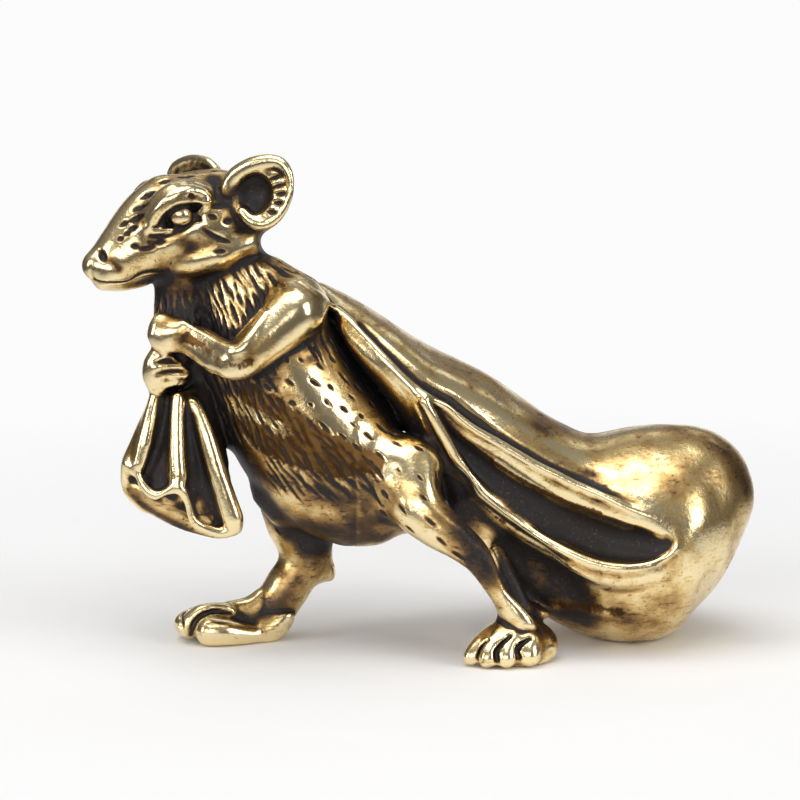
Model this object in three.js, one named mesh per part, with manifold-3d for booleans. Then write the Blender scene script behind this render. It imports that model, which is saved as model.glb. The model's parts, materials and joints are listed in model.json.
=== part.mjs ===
// A cast brass figurine of a rat that drags a sack over its shoulder, in millimetres with +Z up.
// The rat faces -X, so its left side faces -Y. The origin is at the middle of the box, on the floor.
import * as THREE from "three";
import { mergeVertices } from "three/addons/utils/BufferGeometryUtils.js";
import Module from "manifold-3d";

const wasm = await Module();
wasm.setup();

// Driving dimensions

// The gap between two castings that are joined, where the brazed seam runs.
const SEAM = 0.3;
// How deep the sack's underside is pressed flat.
const FLAT = 0.5;

const TORSO_WIDTH = 12;
const TORSO_DEPTH = 12;
const NECK_WIDTH = 7.4;
const NECK_DEPTH = 6.2;

const SKULL_WIDTH = 8.4;
const SKULL_HEIGHT = 7.6;
const SNOUT_LENGTH = 10.4;
const MUZZLE_WIDTH = 4.2;
const MUZZLE_HEIGHT = 3.6;
const HEAD_YAW = 22.5;
const HEAD_PITCH = 16.5;

const EYE_RADIUS = 0.65;
const SOCKET_LENGTH = 1.75;
const SOCKET_HEIGHT = 0.85;

const EAR_RADIUS = 2.65;
const EAR_WALL = 0.75;
const EAR_HOLLOW = 1.7;
const LEFT_EAR_SIZE = 0.95;
const RIGHT_EAR_SIZE = 0.86;

const UPPER_ARM_RADIUS = 1.8;
const FOREARM_RADIUS = 1.15;
const FINGER_RADIUS = 0.5;

const THIGH_RADIUS = 2.3;
const SHANK_RADIUS = 1.05;
const ANKLE_RADIUS = 1.15;
const TOE_RADIUS = 0.8;

const TAIL_ROOT_RADIUS = 0.95;
const TAIL_TIP_RADIUS = 0.45;

const SACK_HEIGHT = 16.8;
const SACK_WIDTH = 16.4;
const SACK_LENGTH = 24;
const DRAPE_THICKNESS = 3.2;
const DRAPE_WIDTH = 9.6;
const GATHER_RADIUS = 1.25;
const FOLD_RADIUS = 0.9;
const GROOVE_RADIUS = 1.05;
const FRILL_LENGTH = 8.8;
const FRILL_WIDTH = 9.2;
const FRILL_DEPTH = 6;
const PLEAT_RADIUS = 0.6;

// Landmarks of the pose, which the neighbouring pieces share

const NAPE = [-12.3, 0, 28.0];
const CHEST = [-10.3, 0, 23.9];
const WAIST = [-8.0, 0, 18.4];
const BELLY = [-5.1, 0, 14.5];
const HIPS = [-2.2, 0, 12.2];
const RUMP = [0.6, 0, 11.6];

const SKULL = [-13.5, 0.2, NAPE[2] + 4.2];
const LEFT_SHOULDER = [-7.6, -TORSO_WIDTH * 0.4, 26.0];
const LEFT_ELBOW = [-12.1, -TORSO_WIDTH * 0.6, 22.4];
const LEFT_GRIP = [-15.9, -3.0, 24.4];
const RIGHT_SHOULDER = [-9.6, TORSO_WIDTH * 0.4, 24.6];
const RIGHT_ELBOW = [-13.2, TORSO_WIDTH * 0.57, 19.6];
const RIGHT_GRIP = [-16.9, -2.3, 21.3];
const FRILL_TOP = [-16.7, -2.4, 19.6];

const LEFT_HIP = [0.4, -TORSO_WIDTH * 0.3, 14.0];
const LEFT_KNEE = [1.7, -TORSO_WIDTH * 0.5, 11.1];
const LEFT_SHIN = [5.6, -6.5, 8.2];
const LEFT_ANKLE = [9.1, -6.4, 3.1];
const LEFT_SOLE = [8.6, -6.2];
const RIGHT_HIP = [-8.3, TORSO_WIDTH * 0.21, 11.3];
const RIGHT_HOCK = [-7.1, 2.5, 6.3];
const RIGHT_ANKLE = [-9.2, 1.9, 2.5];
const RIGHT_SOLE = [-13.0, 1.3];

const SACK = [18.6, 2.3, SACK_HEIGHT / 2 - FLAT];
const DRAPE = [0.4, 1.2, 20.6];
const SACK_SHOULDER = [-7.6, 2.4, 27.1];

// Shapes

const AXIS_X = new THREE.Vector3(1, 0, 0);
const AXIS_Y = new THREE.Vector3(0, 1, 0);
const AXIS_Z = new THREE.Vector3(0, 0, 1);

const toVector = (p) => new THREE.Vector3(...p);

// A point that lies `share` of the way from a to b, as an array.
const between = (a, b, share) => toVector(a).lerp(toVector(b), share).toArray();

const offset = (p, x, y, z) => [p[0] + x, p[1] + y, p[2] + z];

// A closed skin over rings of points, with a fan to a point at each end.
function skin(rings, first, last) {
  const around = rings[0].length;
  const points = [...rings.flat(), first, last];
  const faces = [];
  for (let i = 0; i < rings.length - 1; i++) {
    for (let k = 0; k < around; k++) {
      const a = i * around + k;
      const b = i * around + ((k + 1) % around);
      faces.push(a, b, a + around, b, b + around, a + around);
    }
  }
  const top = (rings.length - 1) * around;
  const start = points.length - 2;
  const end = points.length - 1;
  for (let k = 0; k < around; k++) {
    const next = (k + 1) % around;
    faces.push(start, next, k);
    faces.push(end, top + k, top + next);
  }
  const geometry = new THREE.BufferGeometry();
  geometry.setFromPoints(points);
  geometry.setIndex(faces);
  return geometry;
}

function signedVolume(positions, indices) {
  const corner = (i) => new THREE.Vector3().fromArray(positions, indices[i] * 3);
  let total = 0;
  for (let i = 0; i < indices.length; i += 3) {
    total += corner(i).dot(corner(i + 1).cross(corner(i + 2)));
  }
  return total;
}

// Turns a closed geometry into a solid, with its faces pointing out.
function solid(geometry, pose = new THREE.Matrix4()) {
  const bare = new THREE.BufferGeometry();
  bare.setAttribute("position", geometry.getAttribute("position").clone());
  bare.setIndex(geometry.index);
  const merged = mergeVertices(bare.applyMatrix4(pose), 1e-4);
  const vertProperties = merged.getAttribute("position").array;
  const triVerts = new Uint32Array(merged.index.array);
  if (signedVolume(vertProperties, triVerts) < 0) {
    triVerts.reverse();
  }
  return new wasm.Manifold(new wasm.Mesh({ numProp: 3, vertProperties, triVerts }));
}

function geometryOf(body) {
  const { vertProperties, triVerts } = body.getMesh();
  const geometry = new THREE.BufferGeometry();
  geometry.setAttribute("position", new THREE.BufferAttribute(vertProperties, 3));
  geometry.setIndex(new THREE.BufferAttribute(triVerts, 1));
  return geometry;
}

const join = (bodies) => bodies.reduce((a, b) => a.add(b));

const cut = (body, tools) => tools.reduce((a, b) => a.subtract(b), body);

// The largest of the bodies that a cut leaves.
const largest = (body) => body.decompose().sort((a, b) => b.volume() - a.volume())[0];

// A rounded body through stations { at, wide, high, lean }, where wide and high are half sizes.
// Widths start along `side`, and turn no more than the body's line does. A section leans by
// `lean` radians towards the body's end.
function flesh(stations, options = {}) {
  const { side = AXIS_Y, steps = 3, sides = 16, dome = 0.9, grow = 0 } = options;
  const line = new THREE.CatmullRomCurve3(stations.map(({ at }) => toVector(at)));
  const girth = new THREE.CatmullRomCurve3(
    stations.map(({ wide, high, lean }) => new THREE.Vector3(wide, high, lean)),
  );
  const spans = (stations.length - 1) * steps;
  const frames = [];
  let across = side;
  for (let i = 0; i <= spans; i++) {
    const t = i / spans;
    const along = line.getTangent(t);
    across = across.clone().addScaledVector(along, -across.dot(along)).normalize();
    const size = girth.getPoint(t);
    const upward = along.clone().cross(across).applyAxisAngle(across, size.z);
    frames.push({ centre: line.getPoint(t), along, across, upward, size });
  }
  const reachOf = ({ size }) => Math.min(size.x, size.y) * dome + grow;
  const ring = (frame, reach, shrink) =>
    Array.from({ length: sides }, (_, k) => {
      const angle = (2 * Math.PI * k) / sides;
      return frame.centre
        .clone()
        .addScaledVector(frame.along, reach)
        .addScaledVector(frame.across, (frame.size.x + grow) * shrink * Math.cos(angle))
        .addScaledVector(frame.upward, (frame.size.y + grow) * shrink * Math.sin(angle));
    });
  const start = frames[0];
  const end = frames[spans];
  const turns = [Math.PI / 6, Math.PI / 3];
  const rings = [
    ...turns.map((turn) => ring(start, -reachOf(start) * Math.cos(turn), Math.sin(turn))),
    ...frames.map((frame) => ring(frame, 0, 1)),
    ...turns.toReversed().map((turn) => ring(end, reachOf(end) * Math.cos(turn), Math.sin(turn))),
  ];
  const first = start.centre.clone().addScaledVector(start.along, -reachOf(start));
  const last = end.centre.clone().addScaledVector(end.along, reachOf(end));
  return skin(rings, first, last);
}

const station = (at, wide, high = wide, lean = 0) => ({ at, wide, high, lean });

// A round limb through places [x, y, z, share], offset from `root`, with radii that are shares of
// `size`.
function limb(root, places, size, grow, side = AXIS_Z) {
  const stations = places.map(([x, y, z, share]) => station(offset(root, x, y, z), size * share));
  return solid(flesh(stations, { side, steps: 2, sides: 10, grow }));
}

// An ellipsoid with the half sizes `half`, placed by a pose.
function pebble(half, pose, segments = 12) {
  const ball = new THREE.SphereGeometry(1, segments, Math.round(segments * 0.6));
  return solid(ball.scale(...half), pose);
}

// A pose at `at` whose X axis points along `forward`, with Z as near to up as it can be.
function poseAt(at, forward) {
  const x = forward.clone().normalize();
  const y = AXIS_Z.clone().cross(x).normalize();
  const z = x.clone().cross(y);
  return new THREE.Matrix4().makeBasis(x, y, z).setPosition(...at);
}

const movedBy = (x, y, z) => new THREE.Matrix4().makeTranslation(x, y, z);

// All that lies below the floor, which flat soles are cut by.
function belowFloor() {
  const reach = 200;
  return solid(new THREE.BoxGeometry(reach, reach, reach), movedBy(0, 0, -reach / 2));
}

// The torso

function torso(grow = 0) {
  const wide = TORSO_WIDTH / 2;
  const high = TORSO_DEPTH / 2;
  const stations = [
    station(between(NAPE, SKULL, 0.36), NECK_WIDTH * 0.43, NECK_DEPTH * 0.42),
    station(NAPE, NECK_WIDTH / 2, NECK_DEPTH / 2),
    station(CHEST, wide * 0.86, high * 0.8),
    station(WAIST, wide * 0.98, high * 0.97),
    station(BELLY, wide, high),
    station(HIPS, wide * 0.92, high * 0.86),
    station(RUMP, wide * 0.66, high * 0.52),
  ];
  return solid(flesh(stations, { steps: 2, sides: 24, grow }));
}

// The head. Its own frame has X along the snout, Y to the rat's left and Z up.

function headPose() {
  const yaw = THREE.MathUtils.degToRad(HEAD_YAW);
  const pitch = THREE.MathUtils.degToRad(HEAD_PITCH);
  const level = Math.cos(pitch);
  const forward = [-level * Math.cos(yaw), -level * Math.sin(yaw), -Math.sin(pitch)];
  return poseAt(SKULL, toVector(forward));
}

const inHead = (x, y, z) => headPose().multiply(movedBy(x, y, z));

const EYE_AT = [3.6, SKULL_WIDTH * 0.35, SKULL_HEIGHT * 0.25];

// The features that both sides of the head have, where `hand` is 1 on the left and -1 on the right.
function cheekSide(hand, grow) {
  const brow = [
    station([1.9, hand * SKULL_WIDTH * 0.36, SKULL_HEIGHT * 0.36], 0.7),
    station([3.7, hand * SKULL_WIDTH * 0.35, SKULL_HEIGHT * 0.43], 0.85),
    station([5.4, hand * SKULL_WIDTH * 0.26, SKULL_HEIGHT * 0.33], 0.6),
    station([6.6, hand * SKULL_WIDTH * 0.21, SKULL_HEIGHT * 0.2], 0.4),
  ];
  const cheek = [
    station([-0.6, hand * SKULL_WIDTH * 0.34, -SKULL_HEIGHT * 0.2], 1.5),
    station([1.7, hand * SKULL_WIDTH * 0.34, -SKULL_HEIGHT * 0.22], 1.6),
    station([4.3, hand * SKULL_WIDTH * 0.24, -SKULL_HEIGHT * 0.2], 1.2),
  ];
  const pad = [
    station([SNOUT_LENGTH * 0.8, hand * MUZZLE_WIDTH * 0.2, -0.85], MUZZLE_HEIGHT * 0.3),
    station([SNOUT_LENGTH * 0.93, hand * MUZZLE_WIDTH * 0.19, -0.8], MUZZLE_HEIGHT * 0.28),
  ];
  return [brow, cheek, pad].map((stations) =>
    solid(flesh(stations, { sides: 8, steps: 2, grow }), headPose()),
  );
}

function headBlock(grow) {
  const wide = SKULL_WIDTH / 2;
  const high = SKULL_HEIGHT / 2;
  const muzzleWide = MUZZLE_WIDTH / 2;
  const muzzleHigh = MUZZLE_HEIGHT / 2;
  const stations = [
    station([-2.4, 0, -0.5], wide * 0.8, high * 0.74),
    station([-0.6, 0, 0], wide * 0.96, high * 0.95),
    station([1.3, 0, 0.3], wide, high),
    station([3.4, 0, 0.5], wide * 0.9, high * 0.96),
    station([SNOUT_LENGTH * 0.52, 0, 0.3], wide * 0.72, high * 0.84),
    station([SNOUT_LENGTH * 0.7, 0, -0.05], (wide + muzzleWide) * 0.4, (high + muzzleHigh) * 0.44),
    station([SNOUT_LENGTH * 0.86, 0, -0.45], muzzleWide, muzzleHigh),
    station([SNOUT_LENGTH * 0.95, 0, -0.5], muzzleWide * 0.82, muzzleHigh * 0.76),
  ];
  return solid(flesh(stations, { steps: 2, sides: 20, dome: 0.6, grow }), headPose());
}

function nose(grow) {
  const stations = [
    station([SNOUT_LENGTH * 0.88, 0, 0.4], MUZZLE_WIDTH * 0.18),
    station([SNOUT_LENGTH, 0, 0.1], MUZZLE_WIDTH * 0.17),
  ];
  return solid(flesh(stations, { steps: 1, sides: 8, grow }), headPose());
}

function head(grow = 0) {
  const block = join([headBlock(grow), nose(grow), ...cheekSide(1, grow), ...cheekSide(-1, grow)]);
  if (grow > 0) {
    return block;
  }
  const hollows = [1, -1].flatMap((hand) => {
    const [x, y, z] = EYE_AT;
    const slant = new THREE.Matrix4().makeRotationY(THREE.MathUtils.degToRad(12));
    const socket = inHead(x, hand * (y + SOCKET_HEIGHT / 2), z).multiply(slant);
    const nostril = inHead(SNOUT_LENGTH + 0.2, hand * MUZZLE_WIDTH * 0.18, 0.25);
    return [
      pebble([SOCKET_LENGTH, SOCKET_HEIGHT * 1.3, SOCKET_HEIGHT], socket),
      pebble([0.5, 0.35, 0.3], nostril, 8),
    ];
  });
  return cut(block, hollows);
}

function eye(hand, grow = 0) {
  const [x, y, z] = EYE_AT;
  const radius = EYE_RADIUS + grow;
  return pebble([radius, radius, radius], inHead(x, hand * y, z));
}

// A cupped ear: a thick bowl with a rolled rim, open along `open`.
function ear(at, open, size, grow = 0) {
  const rim = EAR_RADIUS * size + grow;
  const wall = EAR_WALL + grow;
  const outline = [
    [0, -EAR_HOLLOW - wall],
    [rim * 0.5, -EAR_HOLLOW * 0.88 - wall],
    [rim * 0.86, -EAR_HOLLOW * 0.42 - wall * 0.7],
    [rim, -wall * 0.25],
    [rim - wall * 0.12, wall * 0.3],
    [rim - wall * 0.5, wall * 0.45],
    [rim - wall * 0.95, wall * 0.05],
    [rim * 0.5, -EAR_HOLLOW * 0.78],
    [0, -EAR_HOLLOW],
  ];
  const bowl = new THREE.LatheGeometry(
    outline.map(([x, y]) => new THREE.Vector2(x, y)),
    18,
  );
  bowl.rotateX(Math.PI / 2);
  const turn = new THREE.Quaternion().setFromUnitVectors(AXIS_Z, toVector(open).normalize());
  return solid(bowl, new THREE.Matrix4().makeRotationFromQuaternion(turn).setPosition(...at));
}

function leftEar(grow) {
  return ear(offset(SKULL, 3.3, -SKULL_WIDTH / 2, 2.3), [-0.35, -0.9, 0.12], LEFT_EAR_SIZE, grow);
}

function rightEar(grow) {
  return ear(offset(SKULL, -1.9, SKULL_WIDTH * 0.37, 2.3), [-0.72, -0.66, 0.15], RIGHT_EAR_SIZE, grow);
}

// Arms and hands

function arm(shoulder, elbow, wrist, grow) {
  const stations = [
    station(shoulder, UPPER_ARM_RADIUS * 1.2),
    station(between(shoulder, elbow, 0.5), UPPER_ARM_RADIUS),
    station(between(shoulder, elbow, 0.85), UPPER_ARM_RADIUS * 0.88),
    station(between(elbow, wrist, 0.12), UPPER_ARM_RADIUS * 0.76),
    station(between(elbow, wrist, 0.5), FOREARM_RADIUS * 1.08),
    station(wrist, FOREARM_RADIUS),
  ];
  return solid(flesh(stations, { side: AXIS_Z, steps: 2, grow }));
}

const leftArm = (grow = 0) =>
  arm(LEFT_SHOULDER, LEFT_ELBOW, between(LEFT_GRIP, LEFT_ELBOW, 0.3), grow);

const rightArm = (grow = 0) =>
  arm(RIGHT_SHOULDER, RIGHT_ELBOW, between(RIGHT_GRIP, RIGHT_ELBOW, 0.35), grow);

// The fists, in places offset from their grips, with shares of a finger's radius.
const LEFT_FIST = [
  [
    [0.3, -1.2, -0.2, 2.2],
    [-0.1, -1.3, 0, 2.3],
    [-1.0, -1.2, -0.1, 2.6],
    [-1.4, -1.1, -0.1, 2.4],
  ],
  [
    [-1.6, -1.3, 0.9, 1.5],
    [-1.9, -1.6, -0.1, 1.7],
    [-1.3, -1.6, -1.0, 1.4],
    [-0.7, -1.4, -1.2, 1],
  ],
];
const RIGHT_FIST = [
  [
    [0.7, 2.6, -0.3, 2],
    [-0.7, 1.5, -0.1, 2],
    [-1.1, 0.3, 0, 2.1],
    [-1.0, -0.7, 0, 2.3],
  ],
  [
    [-1.5, -1.3, 0.8, 1.1],
    [-0.4, -1.9, 1.1, 1.2],
    [0.7, -1.7, 0.8, 1],
  ],
  [
    [-1.6, -1.3, 0, 1.2],
    [-0.4, -2.0, 0.3, 1.2],
    [1.1, -1.7, 0, 1],
  ],
  [
    [-1.4, -1.1, -0.9, 1.1],
    [-0.5, -1.7, -0.6, 1.2],
    [0.5, -1.5, -0.8, 0.9],
  ],
];

const fist = (grip, places, grow) =>
  join(places.map((finger) => limb(grip, finger, FINGER_RADIUS, grow)));

const leftHand = (grow = 0) => fist(LEFT_GRIP, LEFT_FIST, grow);

const rightHand = (grow = 0) => fist(RIGHT_GRIP, RIGHT_FIST, grow);

// Legs and feet

function leftLeg(grow = 0) {
  const stations = [
    station(LEFT_HIP, THIGH_RADIUS * 1.2, THIGH_RADIUS * 1.3),
    station(between(LEFT_HIP, LEFT_KNEE, 0.6), THIGH_RADIUS, THIGH_RADIUS * 1.06),
    station(LEFT_KNEE, THIGH_RADIUS * 0.74, THIGH_RADIUS * 0.8),
    station(LEFT_SHIN, SHANK_RADIUS * 1.15),
    station(between(LEFT_SHIN, LEFT_ANKLE, 0.55), SHANK_RADIUS),
    station(LEFT_ANKLE, ANKLE_RADIUS),
  ];
  // The web that joins the shin to the cloth behind it.
  const web = [
    [0, 0, 0, 0.9],
    [1.7, 0.2, -1.6, 1.35],
    [2.8, 0.5, -2.6, 1.3],
    [3.4, 2.4, -2.8, 1.4],
  ];
  const webTop = offset(LEFT_SHIN, 1.7, 0.9, -1.5);
  return join([solid(flesh(stations, { grow })), limb(webTop, web, SHANK_RADIUS, grow)]);
}

function rightLeg(grow = 0) {
  const heel = offset(RIGHT_HOCK, 1.9, 0, -1.0);
  const thigh = [
    station(RIGHT_HIP, THIGH_RADIUS * 1.12),
    station(between(RIGHT_HIP, RIGHT_HOCK, 0.5), THIGH_RADIUS * 1.08),
    station(RIGHT_HOCK, THIGH_RADIUS * 0.86),
    station(between(RIGHT_HOCK, RIGHT_ANKLE, 0.5), THIGH_RADIUS * 0.75),
    station(RIGHT_ANKLE, THIGH_RADIUS * 0.6),
  ];
  const spur = [station(RIGHT_HOCK, SHANK_RADIUS), station(heel, SHANK_RADIUS * 0.55)];
  return join([
    solid(flesh(thigh, { grow })),
    solid(flesh(spur, { steps: 2, sides: 12, grow })),
  ]);
}

// The feet, in places offset from their soles, with shares of a toe's radius: the instep, the
// ball and the heel first, and then the toes.
const LEFT_PAW = [
  [
    [-0.2, 0.8, 4.2, 1.5],
    [0, 0.3, 2.8, 2],
    [-0.3, -0.1, 1.6, 1.9],
  ],
  [
    [1.9, 1.2, 2.2, 1.5],
    [1.9, 0.4, 1.1, 1.7],
    [0.6, -0.6, 0.9, 1.75],
    [-0.9, -0.9, 0.9, 1.5],
  ],
  [
    [-1.4, -0.1, 2.2, 1.2],
    [-2.7, -0.8, 1.5, 1],
    [-3.4, -1.3, 0.65, 0.88],
  ],
  [
    [-0.9, -0.3, 2.3, 1.25],
    [-1.8, -1.4, 1.6, 1.06],
    [-2.2, -2.1, 0.7, 0.95],
  ],
  [
    [-0.2, -0.3, 2.3, 1.25],
    [-0.6, -1.5, 1.6, 1.12],
    [-0.8, -2.2, 0.75, 1.02],
  ],
  [
    [0.7, 0, 2.2, 1.35],
    [0.9, -1.1, 1.5, 1.3],
    [0.9, -1.7, 0.85, 1.18],
  ],
];
const RIGHT_PAW = [
  [
    [2.9, 0.4, 3.2, 1.1],
    [1.8, 0.3, 2.3, 1.3],
    [0.1, 0.1, 1.8, 1.5],
  ],
  [
    [3.1, 0.4, 1.4, 1.5],
    [0.8, 0, 1.1, 1.8],
    [-1.2, -0.1, 1.15, 1.75],
  ],
  [
    [4.5, 0.1, 2.6, 1.5],
    [3.6, -0.4, 1.2, 1.4],
    [2.2, -0.8, 0.8, 1.1],
  ],
  [
    [2.6, -0.9, 0.7, 0.85],
    [1.6, -1.5, 0.7, 1],
    [-0.1, -2.2, 1.0, 1.3],
    [-1.4, -2.3, 1.1, 1.43],
  ],
  [
    [-0.1, -0.9, 2.2, 1],
    [-1.9, -1.1, 2.2, 1.1],
    [-2.9, -1.2, 1.2, 1.25],
  ],
  [
    [-0.5, 0.6, 2.0, 1],
    [-2.4, 0.5, 1.7, 1.1],
    [-3.3, 0.3, 1.1, 1.2],
  ],
  [
    [-0.5, 2.0, 1.5, 1],
    [-2.2, 2.0, 1.3, 1.05],
    [-2.8, 1.9, 0.9, 1.1],
  ],
];

const paw = (sole, places, grow) =>
  cut(join(places.map((toe) => limb([...sole, 0], toe, TOE_RADIUS, grow))), [belowFloor()]);

const leftPaw = (grow = 0) => paw(LEFT_SOLE, LEFT_PAW, grow);

const rightPaw = (grow = 0) => paw(RIGHT_SOLE, RIGHT_PAW, grow);

// The tail, which trails on the far side of the sack.
function tail() {
  const root = offset(RUMP, 2.6, TORSO_WIDTH * 0.25, 0.6);
  const route = [
    root,
    offset(root, 3.4, 4.1, -1.3),
    offset(root, 7.4, 7.0, -3.4),
    offset(root, 11.8, 8.4, -5.4),
    offset(root, 16.2, 8.0, -6.2),
    offset(root, 19.6, 6.4, -5.0),
  ];
  const stations = route.map((at, i) =>
    station(at, THREE.MathUtils.lerp(TAIL_ROOT_RADIUS, TAIL_TIP_RADIUS, i / (route.length - 1))),
  );
  return solid(flesh(stations, { side: AXIS_Z, sides: 8 }));
}

// The sack

function sackBody(grow = 0) {
  const high = SACK_HEIGHT / 2;
  const wide = SACK_WIDTH / 2;
  const thin = DRAPE_THICKNESS / 2;
  const long = SACK_LENGTH;
  const stations = [
    station(SACK_SHOULDER, DRAPE_WIDTH * 0.34, thin * 0.6),
    station(between(SACK_SHOULDER, DRAPE, 0.5), DRAPE_WIDTH * 0.5, thin * 1.2),
    station(DRAPE, DRAPE_WIDTH * 0.6, thin * 1.55),
    station(offset(SACK, -long * 0.604, -0.7, high * 1.09), wide * 0.75, high * 0.5),
    station(offset(SACK, -long * 0.454, -0.4, high * 0.6), wide * 0.86, high * 0.645),
    station(offset(SACK, -long * 0.288, -0.2, high * 0.19), wide * 0.94, high * 0.81),
    station(offset(SACK, -long * 0.138, 0, high * 0.03), wide * 0.99, high * 0.96),
    station(SACK, wide, high, 0.1),
    station(offset(SACK, long * 0.13, 0, high * 0.04), wide * 0.92, high * 0.91, 0.24),
    station(offset(SACK, long * 0.2, 0, high * 0.08), wide * 0.72, high * 0.66, 0.4),
  ];
  const bulge = [
    station(offset(SACK, long * 0.105, -0.7, high * 0.47), wide * 0.58),
    station(offset(SACK, long * 0.13, -0.7, high * 0.33), wide * 0.59),
    station(offset(SACK, long * 0.06, -0.9, -high * 0.2), wide * 0.56),
  ];
  return join([
    solid(flesh(stations, { steps: 2, sides: 32, dome: 0.42, grow })),
    solid(flesh(bulge, { steps: 2, sides: 24, grow })),
  ]);
}

// Lays points { x, z } on the side of a body that faces -Y, each pushed in by `sink`.
function onNearSide(body, places, radius, sink) {
  const mesh = new THREE.Mesh(geometryOf(body));
  const caster = new THREE.Raycaster();
  const away = 100;
  return places.map(([x, z, size]) => {
    caster.set(new THREE.Vector3(x, -away, z), AXIS_Y);
    const [hit] = caster.intersectObject(mesh);
    return station([x, hit.point.y + sink, z], radius * size);
  });
}

// Folds and grooves of the cloth, as places [x, z, share of the full radius].
const UPPER_FOLD = [
  [-5.6, 25.0, 0.5],
  [-1.2, 21.7, 0.85],
  [3.4, 18.0, 1],
  [8.2, 15.2, 1],
  [13.4, 12.6, 1],
  [18.8, 10.3, 0.7],
];
const LOWER_FOLD = [
  [1.8, 19.3, 0.6],
  [3.6, 16.1, 0.85],
  [6.0, 12.7, 0.95],
  [10.2, 9.3, 1.05],
  [14.4, 7.2, 1.1],
  [18.3, 7.1, 0.95],
  [20.8, 8.6, 0.7],
];
const MIDDLE_GROOVE = [
  [3.0, 17.9, 0.5],
  [5.0, 15.2, 0.95],
  [8.0, 12.9, 1.25],
  [12.0, 10.3, 1.4],
  [15.8, 8.9, 1.35],
  [18.6, 8.6, 0.95],
];
const UNDER_GROOVE = [
  [3.4, 13.3, 0.9],
  [5.4, 11.2, 1.4],
  [7.6, 8.9, 1.8],
  [10.2, 6.6, 1.8],
  [13.0, 4.6, 1.3],
];
const TOP_GROOVE = [
  [-2.6, 24.9, 0.5],
  [1.2, 21.4, 0.65],
  [4.6, 19.1, 0.75],
  [9.3, 16.2, 0.9],
  [14.6, 13.5, 0.8],
];

function sack(grow = 0) {
  const body = sackBody(grow);
  const folds = [UPPER_FOLD, LOWER_FOLD].map((places) =>
    solid(flesh(onNearSide(body, places, FOLD_RADIUS, FOLD_RADIUS * 0.2), { steps: 2, sides: 8, grow })),
  );
  if (grow > 0) {
    return join([body, ...folds]);
  }
  const grooves = [
    [MIDDLE_GROOVE, GROOVE_RADIUS * 0.5],
    [UNDER_GROOVE, -GROOVE_RADIUS * 0.15],
    [TOP_GROOVE, -GROOVE_RADIUS * 0.35],
  ].map(([places, sink]) =>
    solid(flesh(onNearSide(body, places, GROOVE_RADIUS, sink), { steps: 2, sides: 8 })),
  );
  return cut(join([body, ...folds]), [...grooves, belowFloor()]);
}

// The gathered cloth, from the sack over the right shoulder and down through both fists.
function sackNeck(grow = 0) {
  const r = GATHER_RADIUS;
  const stations = [
    station(offset(SACK_SHOULDER, 0, 0.6, -0.9), r * 1.5, r * 0.8),
    station(offset(NAPE, 2.1, NECK_WIDTH * 0.6, -1.3), r * 1.3, r * 0.9),
    station(offset(NAPE, -0.5, NECK_WIDTH * 0.72, -1.5), r * 1.1, r),
    station(offset(NAPE, -2.7, NECK_WIDTH * 0.5, -1.3), r),
    station(offset(LEFT_GRIP, -0.3, 2.4, 2.0), r),
    station(LEFT_GRIP, r * 0.95),
    station(RIGHT_GRIP, r * 0.95),
    station(offset(FRILL_TOP, 0, 0, 0.6), r),
  ];
  return solid(flesh(stations, { side: AXIS_Z, steps: 2, sides: 12, dome: 0.3, grow }));
}

// The loose end of the cloth, in places [x, y, z, radius] that are shares of its width, depth and
// length and of a pleat's radius.
const FRILL_BODY = [
  [
    [0.04, 0, -0.03, 2.2],
    [0.02, -0.02, 0.27, 3.3],
    [0.01, -0.03, 0.56, 4.3],
    [-0.04, -0.07, 0.73, 4.3],
  ],
  [
    [0.14, 0.03, 0.07, 2],
    [0.22, 0, 0.49, 3],
    [0.29, -0.07, 0.91, 3.2],
    [0.36, -0.1, 1.05, 2.7],
  ],
  [
    [-0.32, -0.17, 0.78, 1.8],
    [-0.12, -0.17, 0.91, 2.1],
    [0.12, -0.13, 1.07, 1.7],
    [0.36, -0.13, 1.15, 1.5],
  ],
];
const PLEATS = [
  [
    [-0.12, -0.2, 0.01, 1],
    [-0.21, -0.25, 0.3, 1.6],
    [-0.32, -0.3, 0.58, 1.75],
  ],
  [
    [0.04, -0.27, -0.07, 0.9],
    [0.03, -0.35, 0.19, 1],
    [0.03, -0.45, 0.48, 1.15],
    [0.04, -0.48, 0.67, 1.35],
  ],
  [
    [0.16, -0.2, 0.06, 0.95],
    [0.26, -0.3, 0.32, 1.2],
    [0.35, -0.37, 0.64, 1.35],
    [0.48, -0.4, 1.04, 1.4],
  ],
];
const FLUTES = [
  [
    [-0.09, -0.37, -0.07, 0.5],
    [-0.12, -0.5, 0.17, 0.9],
    [-0.13, -0.54, 0.47, 1.35],
    [-0.13, -0.54, 0.66, 1.15],
  ],
  [
    [0.14, -0.43, 0.14, 0.6],
    [0.17, -0.52, 0.34, 1],
    [0.22, -0.57, 0.61, 1.2],
    [0.26, -0.55, 0.95, 1],
  ],
];
const HEM = [
  [-0.38, -0.4, 0.55, 0.7],
  [-0.29, -0.47, 0.64, 0.7],
  [-0.23, -0.5, 0.75, 0.7],
  [-0.14, -0.53, 0.82, 0.75],
  [-0.04, -0.55, 0.78, 0.75],
  [0.03, -0.57, 0.73, 0.8],
  [0.09, -0.55, 0.8, 0.75],
  [0.12, -0.52, 0.92, 0.75],
  [0.17, -0.5, 1.05, 0.75],
  [0.27, -0.47, 1.11, 0.8],
  [0.39, -0.43, 1.15, 0.85],
  [0.51, -0.4, 1.11, 0.9],
];
const BACK_HEM = [
  [-0.38, -0.35, 0.57, 0.7],
  [-0.4, -0.28, 0.72, 0.7],
  [-0.35, -0.23, 0.85, 0.7],
  [-0.24, -0.2, 0.97, 0.7],
];

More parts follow.
